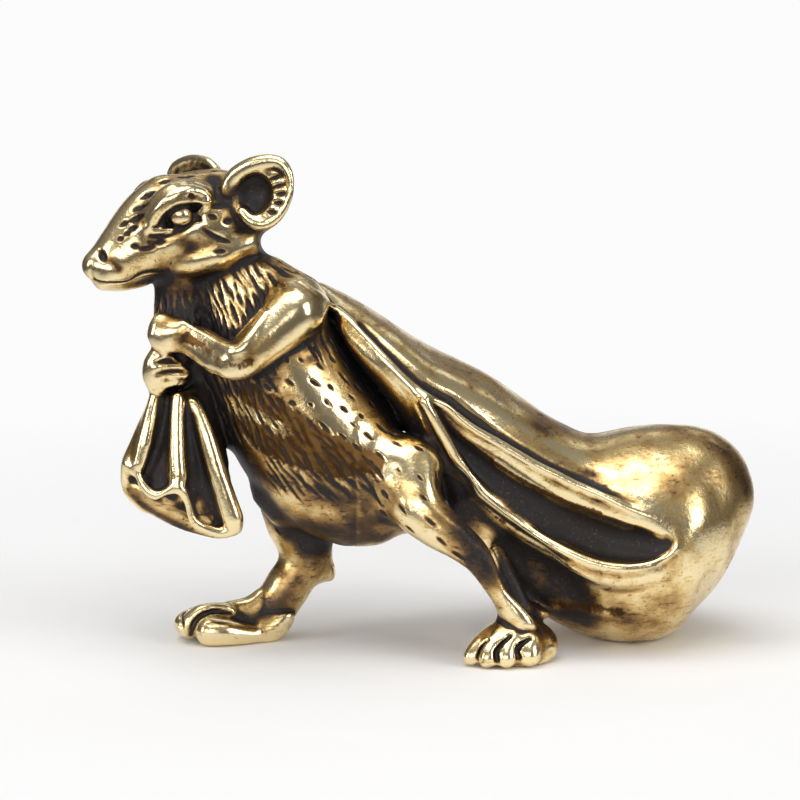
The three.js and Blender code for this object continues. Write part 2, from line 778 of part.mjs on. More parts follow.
function frillLimb(places, side = AXIS_X) {
  const full = places.map(([x, y, z, share]) => [
    x * FRILL_WIDTH,
    y * FRILL_DEPTH,
    -z * FRILL_LENGTH,
    share,
  ]);
  return limb(FRILL_TOP, full, PLEAT_RADIUS, 0, side);
}

function frill() {
  const body = join(FRILL_BODY.map((places) => frillLimb(places)));
  const pleats = PLEATS.map((places) => frillLimb(places));
  const hems = [HEM, BACK_HEM].map((places) => frillLimb(places, AXIS_Y));
  const fluted = cut(join([body, ...pleats]), FLUTES.map((places) => frillLimb(places)));
  return join([fluted, ...hems]);
}

// The assembly

const polished = () =>
  new THREE.MeshStandardMaterial({ color: 0xc8a55a, roughness: 0.28, metalness: 1 });
const antiqued = () =>
  new THREE.MeshStandardMaterial({ color: 0x8a6a38, roughness: 0.42, metalness: 1 });

const leftEye = (grow) => eye(1, grow);
const rightEye = (grow) => eye(-1, grow);

// Each piece is cut back from the pieces that it sits on, by the width of a seam.
const piece = (name, build, at, sitsOn, finish = polished) => ({ name, build, at, sitsOn, finish });

const RAT = [
  piece("torso", torso, WAIST, [], antiqued),
  piece("head", head, SKULL, [torso, leftEye, rightEye]),
  piece("left_ear", leftEar, SKULL, [head, torso]),
  piece("right_ear", rightEar, SKULL, [head, torso]),
  piece("left_eye", leftEye, SKULL, []),
  piece("right_eye", rightEye, SKULL, []),
  piece("left_arm", leftArm, LEFT_ELBOW, [torso, sack]),
  piece("left_hand", leftHand, LEFT_GRIP, [leftArm, sackNeck, torso, rightHand]),
  piece("right_arm", rightArm, RIGHT_ELBOW, [torso, sack]),
  piece("right_hand", rightHand, RIGHT_GRIP, [rightArm, sackNeck, torso, leftArm]),
  piece("left_leg", leftLeg, LEFT_KNEE, [torso, sack]),
  piece("left_foot", leftPaw, [...LEFT_SOLE, 0], [leftLeg]),
  piece("right_leg", rightLeg, RIGHT_HOCK, [torso]),
  piece("right_foot", rightPaw, [...RIGHT_SOLE, 0], [rightLeg]),
  piece("tail", tail, RUMP, [torso, sack]),
];
const BAG = [
  piece("sack", sack, SACK, [torso]),
  piece("sack_neck", sackNeck, FRILL_TOP, [torso, head, sack, rightArm, leftArm], antiqued),
  piece("sack_mouth", frill, FRILL_TOP, [torso, sackNeck, rightHand, leftArm]),
];

function casting({ name, build, at, sitsOn, finish }) {
  const body = largest(cut(build(), sitsOn.map((seat) => seat(SEAM))));
  const geometry = geometryOf(body).translate(-at[0], -at[1], -at[2]);
  const mesh = new THREE.Mesh(geometry, finish());
  mesh.name = name;
  mesh.position.set(...at);
  return mesh;
}

const rat = new THREE.Group();
rat.add(...RAT.map(casting));
const bag = new THREE.Group();
bag.add(...BAG.map(casting));

const figurine = new THREE.Group();
figurine.add(rat, bag);
const extent = new THREE.Box3().setFromObject(figurine, true);
const middle = extent.getCenter(new THREE.Vector3());
figurine.position.set(-middle.x, -middle.y, -extent.min.z);

export default figurine;
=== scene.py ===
import json
import math

import bpy
import numpy as np
import openvdb
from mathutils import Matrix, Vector


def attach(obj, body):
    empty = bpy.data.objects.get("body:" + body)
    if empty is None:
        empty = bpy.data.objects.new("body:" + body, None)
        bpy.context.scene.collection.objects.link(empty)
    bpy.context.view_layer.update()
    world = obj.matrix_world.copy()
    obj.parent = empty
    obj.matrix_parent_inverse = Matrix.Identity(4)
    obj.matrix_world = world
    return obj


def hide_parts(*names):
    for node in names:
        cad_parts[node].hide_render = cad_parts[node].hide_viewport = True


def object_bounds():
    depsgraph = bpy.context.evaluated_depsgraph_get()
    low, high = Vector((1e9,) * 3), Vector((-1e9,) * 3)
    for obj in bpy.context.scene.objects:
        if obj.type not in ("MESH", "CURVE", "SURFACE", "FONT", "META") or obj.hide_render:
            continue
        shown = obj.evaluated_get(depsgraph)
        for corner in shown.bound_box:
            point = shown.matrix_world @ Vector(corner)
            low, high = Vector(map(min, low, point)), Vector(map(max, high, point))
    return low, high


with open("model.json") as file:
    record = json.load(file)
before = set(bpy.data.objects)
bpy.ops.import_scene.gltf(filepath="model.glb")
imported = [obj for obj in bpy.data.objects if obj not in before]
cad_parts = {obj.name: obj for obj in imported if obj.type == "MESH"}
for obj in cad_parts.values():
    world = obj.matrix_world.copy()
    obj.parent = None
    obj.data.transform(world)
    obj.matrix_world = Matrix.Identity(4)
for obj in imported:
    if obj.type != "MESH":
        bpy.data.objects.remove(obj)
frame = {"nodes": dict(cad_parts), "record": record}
cad_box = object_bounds()

MM = 0.001
# The grid's step, how far from a surface its distances go, and the room round the solids' box.
VOXEL = 0.12
REACH = 1.3
MARGIN = 2.0
# The gap that the part leaves between neighbouring solids.
SEAM = 0.3

# Camera: the point it looks at, its height over the horizon, its distance, and the focal length
# in pixels of its frame

TARGET = np.array([-1.5766, -1.4313, 18.6])
ELEVATION = math.radians(10)
DISTANCE = 320.0
FOCAL_PIXELS = 4288.0
FRAME_PIXELS = 800
SENSOR = 36.0
FORWARD = np.array([0, math.cos(ELEVATION), -math.sin(ELEVATION)])
UP = np.array([0, math.sin(ELEVATION), math.cos(ELEVATION)])
RIGHT = np.array([1.0, 0, 0])
EYE_POINT = TARGET - FORWARD * DISTANCE


def place_camera():
    data = bpy.data.cameras.new("camera")
    data.sensor_width = SENSOR
    data.lens = FOCAL_PIXELS * SENSOR / FRAME_PIXELS
    data.clip_start = 0.01
    camera = bpy.data.objects.new("camera", data)
    camera.location = EYE_POINT * MM
    camera.rotation_euler = (math.pi / 2 - ELEVATION, 0, 0)
    bpy.context.scene.collection.objects.link(camera)
    bpy.context.scene.camera = camera


# Clay: signed distances on a grid, positive outside


# How many sigmas a blur reaches.
BLUR_REACH = 2.4


def blur(values, sigma):
    """A Gaussian blur, with sigma in voxels."""
    radius = max(1, int(math.ceil(BLUR_REACH * sigma)))
    kernel = np.exp(-0.5 * (np.arange(-radius, radius + 1) / sigma) ** 2)
    kernel = (kernel / kernel.sum()).astype(np.float32)
    for axis in range(3):
        pad = [(radius, radius) if a == axis else (0, 0) for a in range(3)]
        padded = np.pad(values, pad, mode="edge")
        total = np.zeros_like(values)
        for i, weight in enumerate(kernel):
            shifted = [slice(None)] * 3
            shifted[axis] = slice(i, i + values.shape[axis])
            total += weight * padded[tuple(shifted)]
        values = total
    return values


def soft_min(a, b, k):
    h = np.maximum(k - np.abs(a - b), 0) / k
    return np.minimum(a, b) - h * h * (k / 4)


def soft_max(a, b, k):
    return -soft_min(-a, -b, k)


def read_grid(values, places):
    """Values between the voxels of an array, at places in voxels."""
    top = np.array(values.shape) - 1.001
    places = np.clip(places, 0, top)
    base = places.astype(np.int64)
    part = (places - base).astype(np.float32)
    column = values.shape[2]
    row = values.shape[1] * column
    flat = values.reshape(-1)
    start = base[:, 0] * row + base[:, 1] * column + base[:, 2]
    total = np.zeros(len(places), np.float32)
    for corner in range(8):
        bits = [(corner >> n) & 1 for n in range(3)]
        weight = np.ones(len(places), np.float32)
        for n in range(3):
            weight *= part[:, n] if bits[n] else 1 - part[:, n]
        total += weight * flat[start + bits[0] * row + bits[1] * column + bits[2]]
    return total


LOW = np.array(cad_box[0]) / MM - MARGIN
HIGH = np.array(cad_box[1]) / MM + MARGIN
SHAPE = tuple(int(n) for n in np.ceil((HIGH - LOW) / VOXEL).astype(int) + 1)
clay = np.full(SHAPE, REACH, np.float32)
# How dark the patina is that fills engraved lines.
ink = np.zeros(SHAPE, np.float32)


def window(low, high):
    """The part of the grid between two corners: its slices and its open coordinate axes."""
    first = np.clip(np.floor((np.asarray(low) - LOW) / VOXEL).astype(int), 0, SHAPE)
    last = np.clip(np.ceil((np.asarray(high) - LOW) / VOXEL).astype(int) + 1, 0, SHAPE)
    slices = tuple(slice(a, b) for a, b in zip(first, last))
    axes = [
        (LOW[n] + VOXEL * np.arange(first[n], last[n])).astype(np.float32) for n in range(3)
    ]
    return slices, np.ix_(*axes)


def distances(points, **faces):
    """Signed distances from a closed mesh, given in millimetres, on the clay's grid."""
    spots = ((points - LOW) / VOXEL).astype(np.float32)
    band = REACH / VOXEL
    level = openvdb.FloatGrid.createLevelSetFromPolygons(spots, halfWidth=band, **faces)
    low = np.maximum(np.floor(spots.min(0) - band - 1).astype(int), 0)
    high = np.minimum(np.ceil(spots.max(0) + band + 1).astype(int), SHAPE)
    values = np.empty(high - low, np.float32)
    level.copyToArray(values, ijk=tuple(int(n) for n in low))
    return tuple(slice(a, b) for a, b in zip(low, high)), values * VOXEL


def node_distances(name):
    mesh = frame["nodes"][name].data
    mesh.calc_loop_triangles()
    points = np.empty(len(mesh.vertices) * 3, np.float32)
    mesh.vertices.foreach_get("co", points)
    triangles = np.empty(len(mesh.loop_triangles) * 3, np.int32)
    mesh.loop_triangles.foreach_get("vertices", triangles)
    return distances(points.reshape(-1, 3) / MM, triangles=triangles.reshape(-1, 3))


def skin_mesh():
    """The clay's surface as points in millimetres and quads."""
    level = openvdb.FloatGrid(REACH / VOXEL)
    level.copyFromArray(np.ascontiguousarray(clay / VOXEL))
    points, quads = level.convertToQuads(isovalue=0)
    return points.astype(np.float64) * VOXEL + LOW, quads.astype(np.int32)


def measure_again():
    """Makes the clay's values true distances from its surface again."""
    points, quads = skin_mesh()
    slices, values = distances(points, quads=quads.astype(np.uint32))
    clay[:] = REACH
    clay[slices] = values


def depth_at(points):
    return read_grid(clay, (points - LOW) / VOXEL)


def normals_at(points, step=VOXEL):
    slope = np.empty((len(points), 3))
    for n in range(3):
        shift = np.zeros(3)
        shift[n] = step
        slope[:, n] = depth_at(points + shift) - depth_at(points - shift)
    return slope / np.maximum(np.linalg.norm(slope, axis=1, keepdims=True), 1e-6)


# Paths on the surface


def smooth_path(points, spacing=0.3):
    """A Catmull-Rom curve through the points, sampled about `spacing` apart."""
    points = np.asarray(points, float)
    padded = np.vstack([2 * points[0] - points[1], points, 2 * points[-1] - points[-2]])
    out = []
    for a, b, c, d in zip(padded, padded[1:], padded[2:], padded[3:]):
        count = max(2, int(np.linalg.norm(c - b) / spacing))
        t = np.linspace(0, 1, count, endpoint=False)[:, None]
        out.append(
            b
            + 0.5 * t * (c - a)
            + t * t * (a - 2.5 * b + 2 * c - 0.5 * d)
            + 0.5 * t**3 * (3 * (b - c) + d - a)
        )
    return np.vstack([*out, points[-1:]])


CAST_STEPS = 60
CAST_PACE = 0.9
CAST_LEAST = 0.004
CAST_MET = 0.01


def cast(starts, ways):
    """Where rays first meet the clay, or where they pass it closest."""
    spots = starts.copy()
    best = spots.copy()
    closest = np.full(len(spots), np.inf)
    for _ in range(CAST_STEPS):
        depth = depth_at(spots)
        nearer = depth < closest
        closest = np.where(nearer, depth, closest)
        best[nearer] = spots[nearer]
        pace = np.maximum(depth, 0.0) * CAST_PACE + CAST_LEAST
        spots = spots + ways * pace[:, None] * (depth > CAST_MET)[:, None]
    return best


def sight_lines(flat):
    """The directions in which the camera sees points of its 800 px frame."""
    half = FRAME_PIXELS / 2
    return (
        FORWARD
        + RIGHT * ((flat[:, :1] - half) / FOCAL_PIXELS)
        + UP * ((half - flat[:, 1:2]) / FOCAL_PIXELS)
    )


def seen(pixels, spacing=4, even=2, near=0):
    """A path on the surface, given by points of the camera's frame. It passes in front of the gaps
    that are narrower than twice `near` steps, and its depth is evened out."""
    flat = smooth_path(pixels, spacing)
    ways = sight_lines(flat)
    entry = (LOW[1] + 0.1 - EYE_POINT[1]) / ways[:, 1]
    unit = ways / np.linalg.norm(ways, axis=1)[:, None]
    met = cast(EYE_POINT + ways * entry[:, None], unit)
    far = (met[:, 1] - EYE_POINT[1]) / ways[:, 1]
    for _ in range(near):
        padded = np.pad(far, 1, mode="edge")
        far = np.minimum(far, np.minimum(padded[:-2], padded[2:]))
    for _ in range(even):
        far = np.convolve(np.pad(far, 1, mode="edge"), [0.25, 0.5, 0.25], mode="valid")
    return EYE_POINT + ways * far[:, None]


def stroke(ends, spacing=2, rise=0):
    """A short path on the surface between two points (u, v, u, v), with its middle `rise` higher."""
    a, b, c, d = ends
    return seen([(a, b), ((a + c) / 2, (b + d) / 2 - rise), (c, d)], spacing)


def placed(stations, spacing=4):
    """A path and its radii, from stations (u, v, y, radius): a point of the camera's frame, and
    how far behind the rat's middle plane it lies."""
    fine = smooth_path(stations, spacing)
    ways = sight_lines(fine)
    far = (fine[:, 2] + TARGET[1] - EYE_POINT[1]) / ways[:, 1]
    return EYE_POINT + ways * far[:, None], fine[:, 3]


def settle(points, rounds=2):
    for _ in range(rounds):
        points = points - normals_at(points) * depth_at(points)[:, None]
    return points


# Tools


def spread(values, count):
    """A number or a short list of numbers, spread evenly along a path of `count` points."""
    values = np.atleast_1d(np.asarray(values, float))
    return np.interp(np.linspace(0, 1, count), np.linspace(0, 1, len(values)), values)


def sweep(path, reach):
    """Yields, for each segment of a path, its window, distance from it and share along it."""
    for i in range(len(path) - 1):
        a, b = path[i], path[i + 1]
        slices, (x, y, z) = window(np.minimum(a, b) - reach, np.maximum(a, b) + reach)
        along = b - a
        length = max(along @ along, 1e-9)
        share = (x - a[0]) * along[0] + (y - a[1]) * along[1] + (z - a[2]) * along[2]
        share = np.clip(share / length, 0, 1)
        away = (
            (x - a[0] - share * along[0]) ** 2
            + (y - a[1] - share * along[1]) ** 2
            + (z - a[2] - share * along[2]) ** 2
        )
        yield i, slices, np.sqrt(away), share


def within(slices, outer):
    return tuple(slice(s.start - o.start, s.stop - o.start) for s, o in zip(slices, outer))


# The bell curve of a pressed trough: how wide its shoulders are, and where it is cut off.
BELL_SHOULDERS = 1.4
BELL_REACH = 1.9


def press(path, width, depth):
    """Presses the surface in along a path by `depth`, or draws it out where that is negative.
    The trough is a bell curve, `width` wide at its shoulders."""
    widths = spread(width, len(path)) / BELL_SHOULDERS
    depths = spread(depth, len(path))
    reach = BELL_REACH * widths.max()
    outer, _ = window(path.min(0) - reach, path.max(0) + reach)
    total = np.zeros([s.stop - s.start for s in outer], np.float32)
    for i, slices, away, share in sweep(path, reach):
        wide = widths[i] + share * (widths[i + 1] - widths[i])
        deep = depths[i] + share * (depths[i + 1] - depths[i])
        bell = deep * np.exp(-((away / np.maximum(wide, 0.02)) ** 2))
        spot = within(slices, outer)
        total[spot] = np.where(np.abs(bell) > np.abs(total[spot]), bell, total[spot])
    clay[outer] += total


def tube(path, radius):
    """The window and the distances of a tube along a path."""
    radii = spread(radius, len(path))
    reach = radii.max() + 1.0
    outer, _ = window(path.min(0) - reach, path.max(0) + reach)
    total = np.full([s.stop - s.start for s in outer], REACH, np.float32)
    for i, slices, away, share in sweep(path, reach):
        spot = within(slices, outer)
        gap = away - (radii[i] + share * (radii[i + 1] - radii[i]))
        total[spot] = np.minimum(total[spot], gap)
    return outer, total


def hole(stations, k=0.2):
    """Takes a round hollow out of the clay, through stations (u, v, y, radius)."""
    path, radii = placed(stations)
    outer, gap = tube(path, radii)
    clay[outer] = soft_max(clay[outer], -gap, k)


def limb(stations, k=0.5):
    """Adds a round limb through stations (u, v, y, radius)."""
    path, radii = placed(stations)
    outer, gap = tube(path, radii)
    clay[outer] = soft_min(clay[outer], gap, k)


# How far apart the surface is felt to find which way a bead or a channel moves off it.
FEEL = 0.4
# Ink lies this far under the edge of a channel, and fades out over this width.
INK_EDGE = 0.05
INK_FADE = 0.12


def bead(path, radius, lift=0.0, k=0.4):
    """Lays a round bead along a path, with its middle `lift` above the surface."""
    outer, gap = tube(path + normals_at(path, FEEL) * spread(lift, len(path))[:, None], radius)
    clay[outer] = soft_min(clay[outer], gap, k)


def gouge(path, radius, depth, k=0.15, dark=0.0):
    """Cuts a round-bottomed channel of the given depth along a path, and darkens it."""
    rise = spread(radius, len(path)) - spread(depth, len(path))
    outer, gap = tube(path + normals_at(path, FEEL) * rise[:, None], radius)
    clay[outer] = soft_max(clay[outer], -gap, k)
    if dark:
        cover = np.clip(1 - (gap + INK_EDGE) / INK_FADE, 0, 1)
        ink[outer] = np.maximum(ink[outer], dark * cover)


# The solids, softened and fused. Each entry: softening of the facets, fillet where it meets the rest.

FUSING = [
    ("torso", 0.5, 0.5),
    ("head", 0.3, 1.0),
    ("left_leg", 0.35, 2.0),
    ("right_leg", 0.35, 1.6),
    ("left_foot", 0.2, 0.5),
    ("right_foot", 0.2, 0.5),
    ("right_arm", 0.3, 0.6),
    ("left_arm", 0.3, 0.8),
    ("sack", 0.8, 0.4),
    ("tail", 0.2, 0.5),
    ("sack_neck", 0.2, 0.3),
    ("sack_mouth", 0.22, 0.25),
    ("right_hand", 0.2, 0.25),
    ("left_hand", 0.2, 0.25),
    ("left_ear", 0.16, 0.5),
    ("right_ear", 0.16, 0.5),
    ("left_eye", 0.1, 0.05),
    ("right_eye", 0.1, 0.05),
]
EYES = ("left_eye", "right_eye")
# These are modelled afresh in the same places.
REMODELLED = ("left_ear", "right_ear")
solids = {}


def fuse_solids():
    for name, softness, fillet in FUSING:
        spot, values = node_distances(name)
        solids[name] = (spot, values)
        if name not in EYES + REMODELLED:
            soft = blur(values, softness / VOXEL) - SEAM / 2
            clay[spot] = soft_min(clay[spot], soft, fillet)
    clay[:] += SEAM / 2
    measure_again()


# Flesh that the plain solids leave out. A point (u, v) is a pixel of the camera's 800 px frame. A
# station (u, v, y, radius) adds how far behind the rat's middle plane it lies, in millimetres.

# Limbs: stations, and the fillet where they meet the rest.
FLESH = {
    "throat": ([(186, 272, -1.0, 2.3), (176, 300, -1.4, 1.6), (170, 326, -2.0, 1.3)], 1.0),
    "chest": (
        [(205, 300, 0.0, 2.6), (206, 350, 0.0, 2.4), (212, 398, -0.4, 2.0), (218, 430, -0.6, 1.2)],
        1.2,
    ),
    "shoulder": ([(270, 286, -2.0, 2.0), (296, 304, -2.6, 2.3)], 1.6),
    "bridge of the nose": (
        [(101, 261, -3.3, 0.95), (118, 240, -2.9, 1.15), (140, 215, -1.9, 1.5), (162, 197, -0.9, 1.6)],
        0.8,
    ),
    "muzzle": ([(104, 263, -3.5, 0.95), (96, 266, -3.7, 0.98)], 0.4),
    "chin": ([(104, 281, -3.4, 0.7), (122, 281, -2.9, 0.75), (140, 275, -2.2, 0.9)], 0.4),
    "near wrist": (
        [(170, 333, -4.2, 1.15), (186, 339, -4.4, 1.1), (202, 347, -5.1, 1.15), (216, 357, -5.9, 1.2)],
        0.5,
    ),
    "cloth under the far fist": ([(157, 384, -3.8, 0.5), (156, 402, -3.6, 0.5)], 0.3),
    "far fist": (
        [(160, 354, -4.3, 0.75), (155, 364, -4.4, 0.85), (154, 376, -4.2, 0.85), (157, 386, -3.9, 0.7)],
        0.3,
    ),
    "near ankle": ([(512, 600, -5.8, 1.0), (520, 622, -5.9, 1.25), (518, 634, -6.2, 1.2)], 0.9),
    "near heel": ([(536, 606, -5.2, 1.1), (545, 628, -5.0, 1.0)], 0.9),
    "far ankle": ([(284, 588, 2.2, 1.4), (268, 610, 1.9, 1.35), (252, 624, 1.6, 1.2)], 0.9),
    "far heel": ([(290, 590, 2.4, 1.0), (276, 616, 1.7, 0.9), (266, 632, 1.0, 0.8)], 0.9),
    "far leg's spur": ([(314, 570, 2.6, 1.0), (328, 574, 2.6, 0.6)], 0.5),
    "belly in front of the far thigh": ([(266, 492, -0.6, 1.1), (284, 508, -0.4, 1.4)], 1.0),
    "sack's end": ([(690, 491, 2.3, 4.45), (668, 498, 2.3, 4.6)], 1.5),
}
# Drills (u, v, radius) that open the gap between belly and frill, and where they start and end.
BELLY_GAP = [(231, 470, 0.35), (236, 480, 0.5), (243, 496, 0.6)]
BELLY_GAP_FROM = -2.4
BELLY_GAP_TO = 5.0
# The nape is thinner than the solids leave it.
NAPE_HOLLOW = [(272, 241, -3.0, 0.85), (272, 241, 4.0, 0.85)]


def build_up():
    for stations, fillet in FLESH.values():
        limb(stations, fillet)
    for u, v, radius in BELLY_GAP:
        hole([(u, v, BELLY_GAP_FROM, radius), (u, v, BELLY_GAP_TO, radius)], k=0.3)
    hole(NAPE_HOLLOW, k=0.5)


# Ears: cupped shells that stand at (u, v, y) and open towards a direction

NEAR_EAR = {
    "centre": (260, 194, -3.9),
    "opening": (-0.35, -0.9, 0.12),
    "radii": (2.35, 2.45, 1.9),
    "wall": 0.74,
    "shift": -0.38,
    "rim": [
        *[(226, 192), (230, 181), (239, 172), (252, 165), (268, 161), (281, 163), (289, 174)],
        *[(291, 190), (287, 204), (277, 218), (263, 225), (250, 220), (243, 212)],
    ],
    "rim_radius": [0.5, 0.6, 0.6, 0.5, 0.35, 0.22, 0.22, 0.34, 0.46, 0.36],
}
FAR_EAR = {
    "centre": (194, 181, 3.2),
    "opening": (-0.72, -0.66, 0.15),
    "radii": (2.2, 1.8, 1.5),
    "wall": 0.62,
    "shift": 0.0,
    "rim": [(171, 174), (175, 166), (184, 161), (195, 159), (208, 162), (216, 169)],
    "rim_radius": 0.34,
}
NEAR_RIBS = [
    (268, 180, 282, 176),
    (271, 188, 286, 184),
    (274, 195, 287, 193),
    (272, 203, 284, 203),
    (266, 211, 277, 213),
]
FAR_RIBS = [
    [(181, 167), (186, 164)],
    [(188, 165), (192, 161)],
    [(195, 165), (198, 161)],
    [(201, 166), (203, 163)],
]


def ear(centre, opening, radii, wall, shift, rim, rim_radius):
    """A cupped ear: an ellipsoid with the given radii, across, up and deep, cut off flat and
    scooped out to a wall, `shift` off its middle, with a rolled rim through points of the frame."""
    way = np.asarray(opening) / np.linalg.norm(opening)
    side = np.cross((0, 0, 1), way)
    side /= np.linalg.norm(side)
    rise = np.cross(way, side)
    beside = (centre[0] + 1, *centre[1:])
    path, _ = placed([(*centre, 0), (*beside, 0)])
    middle = path[0]
    reach = max(radii) + 1.0
    outer, (x, y, z) = window(middle - reach, middle + reach)
    a = x - middle[0]
    b = y - middle[1]
    c = z - middle[2]
    across = a * side[0] + b * side[1] + c * side[2]
    up = a * rise[0] + b * rise[1] + c * rise[2]
    deep = a * way[0] + b * way[1] + c * way[2]

    def ellipsoid(wide, high, low, right, out):
        flat = np.sqrt(((across - right) / wide) ** 2 + (up / high) ** 2 + ((deep - out) / low) ** 2)
        return ((flat - 1) * min(wide, high, low)).astype(np.float32)

    cup = soft_max(ellipsoid(*radii, 0, 0), (deep - 0.25).astype(np.float32), k=0.5)
    clay[outer] = soft_min(clay[outer], cup, k=0.5)
    scoop = ellipsoid(radii[0] - wall, radii[1] - wall, radii[2] - wall * 0.7, shift, out=0.7)
    clay[outer] = soft_max(clay[outer], -scoop, k=0.25)
    ways = sight_lines(smooth_path(rim, 3))
    far = ((middle + way * 0.1 - EYE_POINT) @ way) / (ways @ way)
    spot, gap = tube(EYE_POINT + ways * far[:, None], rim_radius)
    clay[spot] = soft_min(clay[spot], gap, k=0.3)


def sculpt_ears():
    ear(**NEAR_EAR)
    ear(**FAR_EAR)
    for rib in NEAR_RIBS:
        gouge(stroke(rib), radius=[0.1, 0.2, 0.1], depth=[0.1, 0.2, 0.03], k=0.1, dark=0.8)
    for rib in FAR_RIBS:
        gouge(seen(rib, 2), radius=0.16, depth=[0.12, 0.1, 0.05])


# Head

EYE_HOLLOW = [(151, 228), (160, 214), (173, 202), (188, 196), (203, 200)]
# Beads round the near eye: path, radii, lift and fillet.
EYE_BEADS = {
    "brow": (
        [(144, 229), (150, 212), (162, 198), (178, 190), (192, 187), (203, 191)],
        [0.4, 0.7, 0.8, 0.9, 0.7],
        -0.32,
        0.9,
    ),
    "edge of the brow": (
        [(148, 228), (155, 214), (166, 202), (180, 194), (193, 191), (203, 194), (207, 200)],
        [0.2, 0.3, 0.36, 0.5, 0.4],
        0.0,
        0.45,
    ),
    "upper lid": (
        [(156, 224), (163, 212), (176, 202), (192, 200), (206, 202)],
        [0.12, 0.2, 0.24, 0.16],
        0.0,
        0.2,
    ),
    "lower lid": (
        [(155, 231), (170, 230), (185, 224), (195, 216), (206, 207)],
        [0.2, 0.3, 0.32, 0.2],
        0.0,
        0.25,
    ),
}
# The eyes stand out from their sockets by this much more than the solids.
EYE_SWELL = 0.3
WRINKLES = [
    [(150, 236), (162, 237), (175, 235)],
    [(149, 242), (160, 243), (171, 241)],
    [(141, 249), (149, 248), (157, 246)],
    [(203, 229), (217, 238), (233, 243)],
]
BROW_LINES = [(141, 198, 153, 192), (134, 210, 148, 204), (130, 221, 143, 215)]
# Flecks of fur on the brow, the cheek and the crown.
FLECKS = [
    (128, 229, 137, 227),
    (124, 235, 130, 232),
    (118, 240, 123, 238),
    (213, 207, 224, 206),
    (208, 216, 217, 218),
    (224, 222, 231, 221),
    (215, 252, 229, 251),
    (197, 218, 201, 220),
    (131, 246, 139, 247),
    (178, 177, 193, 176),
    (160, 183, 170, 179),
    (190, 193, 193, 199),
    (120, 226, 128, 221),
]
CHEEK = [(178, 232), (190, 240)]
NOSTRIL = [(99, 250), (102, 255), (104, 261)]
NOSE_SIDE = [(112, 262), (117, 268)]
LIP_CLEFT = [(91, 266), (91, 274), (95, 281)]
MOUTH = [(93, 280), (103, 283), (116, 283), (130, 281), (138, 275), (152, 272), (170, 273)]


def sculpt_head():
    gouge(seen(EYE_HOLLOW), radius=0.4, depth=[0.06, 0.16, 0.2, 0.08])
    for pixels, radius, lift, fillet in EYE_BEADS.values():
        bead(seen(pixels), radius, lift, fillet)
    for name in EYES:
        spot, values = solids[name]
        clay[spot] = soft_min(clay[spot], values - EYE_SWELL, k=0.04)
    for wrinkle in WRINKLES:
        gouge(seen(wrinkle), radius=0.19, depth=[0.03, 0.2, 0.03], k=0.1, dark=1.1)
    for line in BROW_LINES:
        gouge(stroke(line), radius=[0.12, 0.26, 0.12], depth=[0.1, 0.28, 0.1], k=0.1, dark=1.2)
    for fleck in FLECKS:
        gouge(stroke(fleck), radius=[0.08, 0.2, 0.08], depth=[0.06, 0.22, 0.06], k=0.1, dark=1.2)
    press(seen(CHEEK), width=1.2, depth=0.18)
    gouge(seen(NOSTRIL, 2), radius=[0.2, 0.3, 0.2], depth=[0.1, 0.36, 0.1], k=0.12, dark=0.7)
    press(seen(NOSE_SIDE, 2), width=0.5, depth=0.12)
    gouge(seen(LIP_CLEFT, 2), radius=0.12, depth=[0.05, 0.14, 0.14], k=0.08)
    gouge(seen(MOUTH), radius=0.17, depth=[0.15, 0.24, 0.24, 0.22, 0.03], k=0.08)


# Arms and hands

ARM_RIDGE = [(184, 323), (203, 334), (222, 345), (236, 351), (246, 343), (256, 328), (266, 313)]
WRIST_DENT = [(180, 340), (195, 348), (206, 354)]
ELBOW_DENT = [(215, 361), (233, 368), (250, 362)]
FINGER_GAPS = [(153, 364, 178, 361), (156, 374, 186, 371)]


def sculpt_arms():
    bead(seen(ARM_RIDGE), radius=[0.3, 0.4, 0.4, 0.4, 0.3], lift=-0.16, k=0.3)
    press(seen(WRIST_DENT), width=0.9, depth=0.16)
    press(seen(ELBOW_DENT), width=0.9, depth=0.14)
    for gap in FINGER_GAPS:
        gouge(stroke(gap, 4, rise=1), radius=0.2, depth=[0.05, 0.25, 0.25], k=0.15, dark=0.7)


# Cloth

FRILL_RIDGE = [(153, 400), (148, 425), (143, 448), (139, 464)]
FRILL_EDGE_HOLE = [(131, 478, -5.6, 0.35), (132, 487, -5.0, 0.42), (137, 495, -4.8, 0.3)]
FRILL_MIDDLE_HOLE = [
    (160, 506, -5.6, 0.4),
    (173, 502, -5.4, 0.75),
    (182, 514, -5.1, 0.6),
    (190, 528, -4.8, 0.35),
]
FRILL_END_HOLE = [(212, 540, -4.8, 0.2), (224, 539, -4.4, 0.32), (233, 538, -4.2, 0.22)]


def sculpt_frill():
    bead(seen(FRILL_RIDGE), radius=[0.3, 0.5, 0.6, 0.5], lift=0.0, k=0.4)
    hole(FRILL_EDGE_HOLE, k=0.15)
    hole(FRILL_MIDDLE_HOLE, k=0.2)
    hole(FRILL_END_HOLE, k=0.12)


CREST = [(300, 281), (320, 296), (338, 311), (352, 323), (366, 338), (390, 364), (412, 388), (425, 399)]
